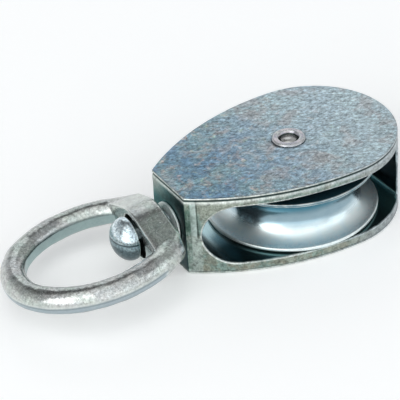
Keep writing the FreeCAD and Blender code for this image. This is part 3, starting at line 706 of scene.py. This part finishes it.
class Nodes:
    """Short names for placing and joining shader nodes in one tree."""

    def __init__(self, tree):
        self.tree = tree
        self.column = 0
        self.vector = None
        tree.nodes.clear()

    def add(self, kind, **values):
        node = self.tree.nodes.new(kind if kind.startswith("NodeGroup") else "ShaderNode" + kind)
        node.location = (self.column * 40 - 1600, -(self.column % 6) * 260)
        self.column += 1
        for key, value in values.items():
            setattr(node, key, value)
        return node

    def give(self, socket, value):
        """Joins the socket to another one, or sets it to a number or a colour."""
        if isinstance(value, bpy.types.NodeSocket):
            self.tree.links.new(value, socket)
        elif value is not None:
            if socket.type == "RGBA":
                value = (*(value if hasattr(value, "__len__") else (value,) * 3), 1.0)[:4]
            socket.default_value = value

    def set(self, node, **values):
        for key, value in values.items():
            self.give(node.inputs[key.replace("_", " ")], value)
        return node

    def group(self, maker, **values):
        """A shared group with its own values; gives its outputs."""
        return self.set(self.add("Group", node_tree=maker()), Vector=self.vector, **values).outputs

    def mask(self, name):
        """A mask that the piece carries on its points."""
        return self.add("Attribute", attribute_name=name).outputs["Fac"]

    def noise(self, scale, detail=4, rough=0.6, warp=0, vector=None):
        node = self.set(self.add("TexNoise"), Vector=vector or self.vector, Scale=scale)
        return self.set(node, Detail=detail, Roughness=rough, Distortion=warp).outputs["Fac"]

    def parts(self):
        """X, Y and Z of the vector."""
        return self.set(self.add("SeparateXYZ"), Vector=self.vector).outputs

    def ramp(self, value, low, high):
        """The value carried from low to high on to nothing to one."""
        node = self.add("MapRange", interpolation_type="SMOOTHSTEP")
        return self.set(node, Value=value, From_Min=low, From_Max=high).outputs["Result"]

    def span(self, place, low, high):
        """A ramp from low to high in millimetres."""
        return self.ramp(place, low * MM, high * MM)

    def near(self, place, level, edge, full):
        """One within full of a level, nothing beyond edge, in millimetres."""
        return self.span(self.math("ABSOLUTE", self.minus(place, level * MM)), edge, full)

    def math(self, operation, a, b=None, clamp=False):
        node = self.add("Math", operation=operation, use_clamp=clamp)
        self.give(node.inputs[0], a)
        self.give(node.inputs[1], b)
        return node.outputs[0]

    def plus(self, a, b, clamp=False):
        return self.math("ADD", a, b, clamp)

    def minus(self, a, b, clamp=False):
        return self.math("SUBTRACT", a, b, clamp)

    def times(self, first, *others):
        for other in others:
            first = self.math("MULTIPLY", first, other)
        return first

    def blend(self, share, a, b, way="MIX"):
        node = self.add("Mix", data_type="RGBA", blend_type=way)
        for slot, value in ((0, share), (6, a), (7, b)):
            self.give(node.inputs[slot], value)
        return node.outputs[2]

    def shaded(self, tone, factor):
        """The tone times another colour or value."""
        return self.blend(1.0, tone, factor, "MULTIPLY")

    def stain(self, tone, colour, *shares):
        """The colour laid over the tone by the product of the shares."""
        return self.blend(self.times(*shares), tone, colour)

    def result(self, **values):
        """Ends a node group with its named outputs."""
        for label, value in values.items():
            kind = "NodeSocketColor" if value.type == "RGBA" else "NodeSocketFloat"
            self.tree.interface.new_socket(label, in_out="OUTPUT", socket_type=kind)
        self.set(self.add("NodeGroupOutput"), **values)
        return self.tree


def new_group(name, **inputs):
    """A shader node group with a Vector and the named inputs."""
    tree = bpy.data.node_groups.new(name, "ShaderNodeTree")
    tree.interface.new_socket("Vector", in_out="INPUT", socket_type="NodeSocketVector")
    for label, value in inputs.items():
        kind = "NodeSocketColor" if isinstance(value, tuple) else "NodeSocketFloat"
        socket = tree.interface.new_socket(label.replace("_", " "), in_out="INPUT", socket_type=kind)
        socket.default_value = value
    n = Nodes(tree)
    given = n.add("NodeGroupInput").outputs
    n.vector = given["Vector"]
    return n, given


@cache
def film_group():
    """Passivation film: slow drifts between two zincs, patches of shade, and small pink, tan
    and green flecks."""
    n, given = new_group(
        "Zinc film", Zinc=(0.4, 0.5, 0.6, 1), Second_zinc=(0.6, 0.65, 0.66, 1), Drift=0.5, Flecks=0.5,
        Cloud=1.0,
    )
    drift = n.ramp(n.noise(70, 5, 0.6, 0.6), 0.38, 0.62)
    tone = n.stain(given["Zinc"], given["Second zinc"], drift, given["Drift"])
    hue = n.noise(260, 2, 0.5)
    fleck = n.blend(n.ramp(hue, 0.42, 0.5), (0.62, 0.45, 0.44), (0.54, 0.47, 0.37))
    fleck = n.stain(fleck, (0.42, 0.60, 0.44), n.ramp(hue, 0.54, 0.6))
    tone = n.stain(tone, fleck, n.ramp(n.noise(400, 6, 0.66, 0.6), 0.53, 0.70), given["Flecks"])
    patch = n.ramp(n.noise(330, 4, 0.6, 0.3), 0.36, 0.64)
    shade = n.blend(patch, (0.80, 0.86, 0.90), (1.14, 1.10, 1.06))
    return n.result(Color=n.shaded(tone, n.blend(given["Cloud"], 1.0, shade)))


@cache
def speckle_group():
    """Grains of zinc: a factor on the colour from dark and bright grains of two sizes, and
    their height."""
    n, given = new_group("Zinc grains", Size=1.0, Contrast=0.5)
    wide = n.noise(n.times(given["Size"], 1000.0), 3, 0.6, 0.3)
    fine = n.noise(n.times(given["Size"], 2600.0), 3, 0.65)
    mean = n.plus(n.times(wide, 0.55), n.times(fine, 0.45))
    swing = n.times(n.minus(mean, 0.5), 9.0, given["Contrast"])
    shade = n.math("MINIMUM", n.math("MAXIMUM", n.plus(swing, 1.0), 0.15), 1.9)
    return n.result(Shade=shade, Height=mean)


@cache
def cast_group():
    """Cast skin under zinc: lumps, grains and pits as a height, and a mask of the pits."""
    n, given = new_group("Cast skin", Size=1.0)
    wide = n.noise(n.times(given["Size"], 260.0), 3, 0.5)
    fine = n.noise(n.times(given["Size"], 1100.0), 4, 0.6)
    pits = n.ramp(fine, 0.60, 0.74)
    height = n.plus(n.times(wide, 0.7), n.times(fine, 0.3))
    return n.result(Height=n.minus(height, n.times(pits, 0.3)), Pits=pits)


@cache
def scratch_group():
    """Dressing marks: fine lines near X in three lengths, as a height and a line mask."""
    n, given = new_group("Dressing marks", Turn=0.0)
    heights = []
    for across, along, turn in ((1900.0, 420, 0.0), (1100.0, 160, 0.5), (2600.0, 500.0, -0.35)):
        rotate = n.add("VectorRotate", rotation_type="Z_AXIS")
        n.set(rotate, Vector=n.vector, Angle=n.plus(given["Turn"], turn))
        scale = n.add("VectorMath", operation="MULTIPLY")
        n.give(scale.inputs[0], rotate.outputs[0])
        n.give(scale.inputs[1], (along, across, 1.0))
        heights.append(n.noise(1, 4, 0.65, 0.5, scale.outputs[0]))
    mean = n.times(n.plus(n.plus(*heights[:2]), heights[2]), 0.333)
    return n.result(Height=mean, Lines=n.ramp(mean, 0.42, 0.6))


@cache
def wear_and_highlight_group():
    """Edges polished by wear, with a painted highlight: the piece's own edge mask, broken up by noise.
    """
    n, given = new_group("Edge wear and highlight", Amount=0.8)
    patchy = n.ramp(n.noise(380, 4, 0.6), 0.3, 0.6)
    mask = n.times(n.mask("edge"), n.plus(n.times(patchy, 0.6), 0.4))
    return n.result(Mask=n.math("MULTIPLY", mask, given["Amount"], clamp=True))


def start_finish(name, metallic, roughness):
    """A material with one shader, and the helper that adds to it."""
    material = bpy.data.materials.new(name)
    material.use_nodes = True
    n = Nodes(material.node_tree)
    shader = n.set(n.add("BsdfPrincipled"), Metallic=metallic, Roughness=roughness)
    n.set(n.add("OutputMaterial"), Surface=shader.outputs[0])
    n.vector = n.add("TexCoord").outputs["Object"]
    return material, n, shader


def finish_bump(n, shader, height, strength, distance):
    """One bump from a height, in millimetres of depth."""
    bump = n.set(n.add("Bump"), Height=height, Strength=strength, Distance=distance * MM)
    n.set(shader, Normal=bump.outputs[0])


def frame_finish(colours):
    """Frame: dressed faces with blue film and strokes, speckled cast sides with polished edges that
    carry wear and a painted highlight, a line of painted shade under them, painted shade and painted
    light on the head face, painted shade in the fine groove, and a cavity in painted shade with painted
    light on its bed and a painted highlight on its crease."""
    material, n, shader = start_finish("Zinc on cast frame", METAL, 0.35)
    x, y, z = n.parts()
    grains = n.group(speckle_group, Size=0.8, Contrast=0.42)
    marks = n.group(scratch_group, Turn=0.1)
    lumps = n.group(cast_group, Size=1.0)["Height"]
    wear_and_highlight = n.group(wear_and_highlight_group, Amount=0.85)["Mask"]

    # Dressed faces: film, pale towards the round end, hazes, rusty stains, strokes and grains
    blue, teal = colours.blue_zinc, colours.teal_zinc
    film = n.group(film_group, Zinc=blue, Second_zinc=teal, Drift=0.9, Flecks=0.75)["Color"]
    top = n.stain(film, colours.pale_zinc, n.span(x, -34, 22), 0.78)
    haze = n.ramp(n.noise(125, 5, 0.62, 0.5), 0.48, 0.62)
    top = n.stain(top, (0.40, 0.385, 0.39), haze, 0.55)
    rust = n.ramp(n.noise(240, 5, 0.65, 0.7), 0.53, 0.66)
    top = n.stain(top, (0.36, 0.30, 0.28), rust, n.span(x, 30, -30), 0.6)
    top = n.shaded(top, n.blend(n.ramp(marks["Height"], 0.38, 0.62), 0.60, 1.44))
    top = n.shaded(top, n.group(speckle_group, Size=1.0, Contrast=0.46)["Shade"])

    # Cast sides: green and brown stains, greyer towards the round end
    cast = tuple(colours.cast_zinc)
    green = n.ramp(n.noise(110, 4, 0.6, 0.8), 0.4, 0.6)
    side = n.blend(green, cast, (cast[0] * 0.72, cast[1] * 0.9, cast[2] * 0.95))
    side = n.stain(side, (0.33, 0.36, 0.39), n.span(x, -4, 22), 0.8)
    brown = n.ramp(n.noise(300, 4, 0.6), 0.46, 0.6)
    side = n.stain(side, (0.25, 0.235, 0.18), brown, n.span(z, 0, -11), n.span(x, 18, -8), 0.65)

    # Upright corners of the head: a smooth pale strip, dark beyond it, and a fine groove with a line of
    # painted shade in it
    upper = n.span(z, -1.2, 0.6)
    smooth = n.times(n.span(x, -38.9, -38.6), n.span(x, -37.3, -37.5), upper)
    broken = n.ramp(n.noise(420, 4, 0.65, 0.5), 0.38, 0.54)
    side = n.stain(side, (0.50, 0.60, 0.57), smooth, n.plus(n.times(broken, 0.55), 0.4))
    side = n.stain(side, (0.38, 0.45, 0.42), n.span(x, -36.2, -37.0), n.minus(1.0, upper), 0.75)
    beyond = n.times(n.span(x, -38.5, -38.8), broken)
    side = n.stain(side, (0.11, 0.19, 0.155), beyond, n.plus(n.times(upper, 0.3), 0.65))
    # Painted shade in the fine groove
    side = n.stain(side, (0.05, 0.07, 0.06), n.near(x, FINE_GROOVE, 0.3, 0.1), upper, 0.75)
    side = n.stain(n.shaded(side, grains["Shade"]), side, smooth, 0.7)

    # Head face with painted shade and painted light, polished edges with wear and a painted highlight,
    # and a line of painted shade under them
    head = colours.head_shade_zinc
    # Painted shade on the head face, darkest on the near side and lighter towards +Y
    face = n.blend(n.span(y, -7, 5), head, [min(5.5 * part, 1) for part in head])
    # Painted light on the upper far part of the head face
    face = n.stain(face, (0.33, 0.37, 0.335), n.span(y, -2, 9), n.span(z, 4, 10.5))
    face = n.blend(0.5, face, n.shaded(face, grains["Shade"]))
    side = n.stain(side, face, n.span(x, -39.7, -39.95))
    # Edges take wear and a painted highlight
    polish = n.blend(0.6, colours.wear_and_highlight_zinc, n.shaded(colours.wear_and_highlight_zinc, grains["Shade"]))
    polish = n.stain(polish, n.shaded(polish, (0.70, 0.73, 0.79)), n.span(x, -26, 6))
    side = n.stain(side, polish, wear_and_highlight)
    # A line of painted shade under the rim's polished edge
    side = n.stain(side, (0.02, 0.035, 0.035), n.mask("line"), 0.93)

    # Cavity: painted shade, its bed with painted light by the head and green by the crown, and a painted
    # highlight on its crease
    bed = n.span(z, -8.8, -9.2)
    cavity_light_and_shade = n.stain((0.025, 0.06, 0.065), (0.42, 0.58, 0.61), n.span(y, -8.5, -0.5), bed)
    cavity_light_and_shade = n.stain(cavity_light_and_shade, (0.075, 0.15, 0.155), n.span(x, -26, -18), bed)
    cavity_light_and_shade = n.stain(cavity_light_and_shade, (0.025, 0.045, 0.055), n.span(x, 8, 26))
    cavity_light_and_shade = n.stain(cavity_light_and_shade, (0.11, 0.27, 0.265), n.span(x, 16, 24), bed)
    cavity_light_and_shade = n.stain(cavity_light_and_shade, (0.50, 0.80, 0.78), n.span(x, 26.6, 27.0), n.span(z, -8.6, -9.2))
    # The cavity's mask carries its painted shade and painted light
    inside = n.times(n.mask("shaded_hollow"), n.minus(1.0, wear_and_highlight))
    side = n.stain(side, cavity_light_and_shade, inside)

    dressed = n.span(n.math("ABSOLUTE", z), 12.64, 12.69)
    rough = n.stain(n.blend(grains["Height"], 0.26, 0.5), 0.2, inside)
    rough = n.stain(rough, n.blend(marks["Lines"], 0.30, 0.42), dressed)
    n.set(shader, Base_Color=n.blend(dressed, side, top), Roughness=rough)
    height = n.plus(lumps, n.times(grains["Height"], 0.7))
    height = n.stain(height, n.times(lumps, 0.3), inside)
    height = n.stain(height, n.times(marks["Height"], 0.32), dressed)
    finish_bump(n, shader, height, 0.6, 0.12)
    return material


def zinc_finish(
    name, zinc, second, roughness, grain, flecks=0.0, speckle=0.3, size=1.0, cloud=1.0, lumps=1.0,
    polish=0.75, tint=None,
):
    """Zinc for a whole piece: film, grains, edges with wear and a painted highlight, and what the tint
    adds, painted light and shade among it, which also says where the piece is smooth."""
    material, n, shader = start_finish(name, METAL, roughness)
    film = n.group(film_group, Zinc=zinc, Second_zinc=second, Flecks=flecks, Cloud=cloud)["Color"]
    grains = n.group(speckle_group, Size=size, Contrast=speckle)
    tone, smooth = n.shaded(film, grains["Shade"]), 0.0
    if tint:
        tone, smooth = tint(n, film, tone)
    wear_and_highlight = n.group(wear_and_highlight_group, Amount=0.7)["Mask"]
    cast = n.group(cast_group, Size=1.6)
    rough = n.blend(cast["Pits"], roughness, min(roughness + 0.12, 1))
    rough = n.stain(rough, roughness * polish, smooth)
    # Edges take wear and a painted highlight
    tone = n.blend(wear_and_highlight, tone, bpy.context.scene.pulley_colours.wear_and_highlight_zinc)
    n.set(shader, Base_Color=tone, Roughness=rough)
    height = n.plus(n.times(cast["Height"], lumps), n.times(grains["Height"], 0.8))
    finish_bump(n, shader, n.stain(height, 0.6, smooth), grain, 0.08)
    return material


def eye_tint_and_painted_light(n, film, tone):
    """The near face of the yoke carries painted light. The eye's trimmed lands are smooth, bluish green
    inside and pale outside; a dark seam runs over the inner one, painted shade lies under the outer one
    and on the bar's underside, and the recess for the stud's head is in painted shade."""
    x, y, z = n.parts()
    # Painted light on the near face of the yoke
    near = n.times(n.span(x, -52.5, -50), n.span(y, -3, -5), n.span(z, 4, 5.6))
    tone = n.shaded(tone, n.blend(near, 1.0, (1.52, 1.66, 1.60)))
    land, rim = n.mask("land"), n.mask("rim")
    # Foot is painted shade on the bar's underside; seam is the parting line with painted shade under the
    # outer land; the recess mask is painted shade
    for mask, share, colour in (
        (land, 0.85, (0.33, 0.45, 0.45)), (rim, 0.8, (0.38, 0.46, 0.51)),
        (n.mask("foot"), 0.6, (0.16, 0.20, 0.21)), (n.mask("seam"), 0.8, (0.04, 0.07, 0.07)),
        (n.mask("shaded_hollow"), 0.92, (0.02, 0.035, 0.035)),
    ):
        tone = n.stain(tone, colour, mask, share)
    return tone, n.plus(land, rim, clamp=True)


def sheave_painted_light_and_shade(n, film, tone):
    """The groove is clean, with painted light on its lower half and painted shade, blue green, on its
    upper half; the flanges are speckled."""
    z = n.parts()["Z"]
    groove = n.near(z, SHEAVE_DROP, 6.8, 6.3)
    # Painted light low in the groove, painted shade above
    middle = n.blend(n.span(z, -6, -3), (1.20, 1.18, 1.14), (0.40, 0.49, 0.53))
    upper = n.blend(n.span(z, -1.8, 1.4), 1.0, (0.17, 0.38, 0.45))
    tone = n.shaded(n.shaded(n.blend(groove, tone, film), middle), upper)
    return tone, n.minus(groove, n.span(z, -4, -7.4), clamp=True)


def rivet_tint_and_shade(n, film, tone):
    """The floor of the hollow is pale; the groove round it is in painted shade."""
    x, y, z = n.parts()
    radius = n.math("SQRT", n.plus(n.times(x, x), n.times(y, y)))
    above = n.span(z, 11.8, 12.1)
    tone = n.stain(tone, (0.62, 0.62, 0.60), n.span(radius, 2.32, 2.22), above)
    # Painted shade in the groove round the floor
    return n.stain(tone, (0.03, 0.045, 0.04), n.near(radius, 2.52, 0.34, 0.16), above), 0.0


def stud_painted_reflections(n, film, tone):
    """The dome carries painted reflections: bright above, crossed by a dark line with a lighter band
    under it, and painted shade in its lower half."""
    z = n.parts()["Z"]
    # Painted shade and painted reflections on the dome, by height
    low = n.blend(n.span(z, 1.6, 1.1), 1.0, (0.40, 0.46, 0.47))
    low = n.stain(low, (0.16, 0.19, 0.195), n.span(z, 0.4, -0.7))
    return n.stain(n.shaded(tone, low), (0.05, 0.07, 0.08), n.near(z, 1.25, 0.38, 0.1), 0.8), 0.0


# ---- Operators ----


def settle_piece(piece, material, body, slot, *nodes):
    """Gives a piece its finish and its body, hides the nodes that it stands for, and ends the operator.
    The slot is not used."""
    piece.data.materials.clear()
    piece.data.materials.append(material)
    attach(piece, body)
    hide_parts(*nodes)
    return {"FINISHED"}


class PULLEY_OT_frame(bpy.types.Operator):
    """Cast frame with two cheeks, a head wall and a crown wall"""

    bl_idname = "pulley.frame"
    bl_label = "Frame"

    def execute(self, context):
        scene = context.scene
        piece = frame_surface(scene.pulley_sizes)
        return settle_piece(piece, frame_finish(scene.pulley_colours), "frame", "frame_zinc", "frame")


class PULLEY_OT_rivet(bpy.types.Operator):
    """Hollow rivet that carries the sheave"""

    bl_idname = "pulley.rivet"
    bl_label = "Rivet"

    def execute(self, context):
        finish = zinc_finish(
            "Zinc on rivet", (0.43, 0.41, 0.45), (0.50, 0.47, 0.50), 0.27, grain=0.2, flecks=0.3,
            speckle=0.25, tint=rivet_tint_and_shade,
        )
        return settle_piece(rivet_surface(), finish, "frame", "rivet_zinc", "axle_rivet")


class PULLEY_OT_sheave(bpy.types.Operator):
    """Turned sheave with a half-round rope groove"""

    bl_idname = "pulley.sheave"
    bl_label = "Sheave"

    def execute(self, context):
        zinc = context.scene.pulley_colours.turned_zinc
        finish = zinc_finish(
            "Bright zinc on sheave", zinc, zinc, 0.44, grain=0.3, polish=0.45, speckle=0.15,
            cloud=0.25, size=1.5, tint=sheave_painted_light_and_shade,
        )
        return settle_piece(sheave_surface(), finish, "sheave", "sheave_zinc", "sheave")


class PULLEY_OT_stud(bpy.types.Operator):
    """Swivel stud with a domed head"""

    bl_idname = "pulley.stud"
    bl_label = "Stud"

    def execute(self, context):
        finish = zinc_finish(
            "Zinc on stud", (0.64, 0.75, 0.80), (0.68, 0.78, 0.83), 0.21, grain=0.35, cloud=0.5,
            speckle=0.5, size=1.5, lumps=0.4, tint=stud_painted_reflections,
        )
        return settle_piece(stud_surface(), finish, "stud", "stud_zinc", "swivel_stud")


class PULLEY_OT_washers(bpy.types.Operator):
    """Thrust washer outside the head and seat washer inside it"""

    bl_idname = "pulley.washers"
    bl_label = "Washers"

    def execute(self, context):
        zinc = (0.93, 1.0, 0.98)
        finish = zinc_finish("Zinc on washers", zinc, zinc, 0.42, grain=0.15, cloud=0.3, speckle=0.2)
        outer = washer_surface("washer_thrust", 4.2, 6.3, -41.4, -40.1, 0.25, slope=0.75)
        settle_piece(outer, finish, "frame", "washer_zinc", "thrust_washer")
        inner = washer_surface("washer_seat", 4.2, 5.3, -36.6, -35.6, 0.2)
        return settle_piece(inner, finish, "frame", "washer_zinc", "seat_washer")


class PULLEY_OT_eye(bpy.types.Operator):
    """Forged eye: an oval bar that blends into a thick yoke"""

    bl_idname = "pulley.eye"
    bl_label = "Eye"

    def execute(self, context):
        finish = zinc_finish(
            "Zinc on forged eye", context.scene.pulley_colours.forged_zinc, (0.50, 0.47, 0.50), 0.22,
            grain=0.6, flecks=0.05, size=1.3, cloud=0.3, lumps=0.25, tint=eye_tint_and_painted_light,
        )
        return settle_piece(eye_surface(context.scene.pulley_sizes), finish, "eye", "eye_zinc", "eye")


def soft_lamp(name, place, size, power, tint):
    """One square area lamp that points at the block."""
    lamp = bpy.data.lights.new(name, "AREA")
    lamp.shape, lamp.size, lamp.energy, lamp.color = "SQUARE", size, power, tint
    made = add_object(name, lamp)
    made.location = place
    made.rotation_euler = (-Vector(place)).to_track_quat("-Z", "Y").to_euler()


def floor_finish(white):
    """Floor: plain, pale and lit, with the white of the background added for what the camera,
    a gloss or a glass sees, so that the shadow stays."""
    material, n, shader = start_finish("Pale floor", 0, 0.9)
    path = n.add("LightPath").outputs
    seen = n.plus(path["Is Camera Ray"], path["Is Glossy Ray"])
    seen = n.plus(seen, path["Is Transmission Ray"], clamp=True)
    n.set(
        shader, Base_Color=white, Specular_IOR_Level=0.0, Emission_Color=(1, 1, 1),
        Emission_Strength=n.times(seen, 0.2),
    )
    return material


def studio_world():
    """Soft studio round the object, by the direction alone: an even grey, white along the
    horizon, a wide bright wall on the camera's side and a dark gap in the ceiling behind."""
    world = bpy.data.worlds.new("Soft studio")
    bpy.context.scene.world = world
    world.use_nodes = True
    n = Nodes(world.node_tree)
    n.vector = n.add("TexCoord").outputs["Generated"]

    def lobe(toward, edge, full):
        dot = n.add("VectorMath", operation="DOT_PRODUCT")
        n.give(dot.inputs[0], n.vector)
        n.give(dot.inputs[1], toward)
        edge, full = np.cos(np.radians((edge, full)))
        return n.ramp(dot.outputs["Value"], edge, full)

    light = n.plus(0.43, n.times(n.ramp(n.parts()["Z"], 0.42, 0.12), 0.52))
    light = n.plus(light, n.times(lobe((-0.4321, -0.7967, 0.4226), 64, 32), 0.75))
    light = n.minus(light, n.times(lobe((0.03, 0.552, 0.833), 32, 13), 0.37))
    background = n.set(n.add("Background"), Color=(0.95, 0.98, 1.0), Strength=light)
    n.set(n.add("OutputWorld"), Surface=background.outputs[0])


class PULLEY_OT_stage(bpy.types.Operator):
    """Floor, soft lamps, studio and camera"""

    bl_idname = "pulley.stage"
    bl_label = "Stage"

    def execute(self, context):
        scene = context.scene
        span = np.linspace(-1.5, 1.5, 7) / MM
        x, y = (part.ravel() for part in np.meshgrid(span, span))
        level = CAD_BOX[0][2] / MM - 0.05
        points = np.stack([x, y, np.full_like(x, level)], axis=-1)
        floor = make_mesh("floor", points, grid_faces(7, 7), {}, weld=0, turn_out=False)
        floor.data.materials.append(floor_finish(scene.pulley_colours.floor_white))
        warm, cool = (1.0, 0.99, 0.97), (0.94, 0.98, 1.0)
        soft_lamp("lamp_key", (-1.15, -0.45, 0.66), 1.0, 4.6, warm)
        soft_lamp("lamp_top", (-0.3, 0.0, 1.4), 1.0, 1.6, warm)
        soft_lamp("lamp_fill", (0.9, -0.9, 0.6), 0.8, 1.5, (0.92, 0.97, 1.0))
        soft_lamp("lamp_back", (0.5, 1.1, 0.9), 0.8, 1.5, cool)
        studio_world()
        scene.view_settings.view_transform = "Standard"
        lens = bpy.data.cameras.new("camera")
        lens.lens, lens.sensor_width, lens.clip_start = 180.0, 36.0, 0.01
        camera = add_object("camera", lens)
        right = (0.8577854, -0.5106256, -0.0588704)
        up = (0.3292344, 0.4578628, 0.8258126)
        back = (-0.3947265, -0.7277521, 0.5608635)
        turn = Matrix((right, up, back)).transposed().to_4x4()
        camera.matrix_world = Matrix.Translation((-0.25121, -0.40795, 0.31789)) @ turn
        scene.camera = camera
        return {"FINISHED"}


class PULLEY_PT_panel(bpy.types.Panel):
    """Lists the pieces of the pulley block"""

    bl_label = "Pulley block"
    bl_idname = "PULLEY_PT_panel"
    bl_space_type = "VIEW_3D"
    bl_region_type = "UI"
    bl_category = "Pulley"

    def draw(self, context):
        layout = self.layout
        for operator in PIECES:
            layout.operator(operator.bl_idname)
        for group in (context.scene.pulley_sizes, context.scene.pulley_colours):
            box = layout.box()
            for key in group.__annotations__:
                box.prop(group, key)


PIECES = (
    PULLEY_OT_frame, PULLEY_OT_rivet, PULLEY_OT_sheave, PULLEY_OT_stud, PULLEY_OT_washers,
    PULLEY_OT_eye, PULLEY_OT_stage,
)
CLASSES = (PulleySizes, PulleyColours, *PIECES, PULLEY_PT_panel)


def register():
    for item in CLASSES:
        bpy.utils.register_class(item)
    bpy.types.Scene.pulley_sizes = PointerProperty(type=PulleySizes)
    bpy.types.Scene.pulley_colours = PointerProperty(type=PulleyColours)


def unregister():
    del bpy.types.Scene.pulley_colours
    del bpy.types.Scene.pulley_sizes
    for item in reversed(CLASSES):
        bpy.utils.unregister_class(item)


def main():
    """Makes every piece in order, then the stage."""
    register()
    bpy.ops.pulley.frame()
    bpy.ops.pulley.rivet()
    bpy.ops.pulley.sheave()
    bpy.ops.pulley.stud()
    bpy.ops.pulley.washers()
    bpy.ops.pulley.eye()
    bpy.ops.pulley.stage()


if __name__ == "__main__":
    main()
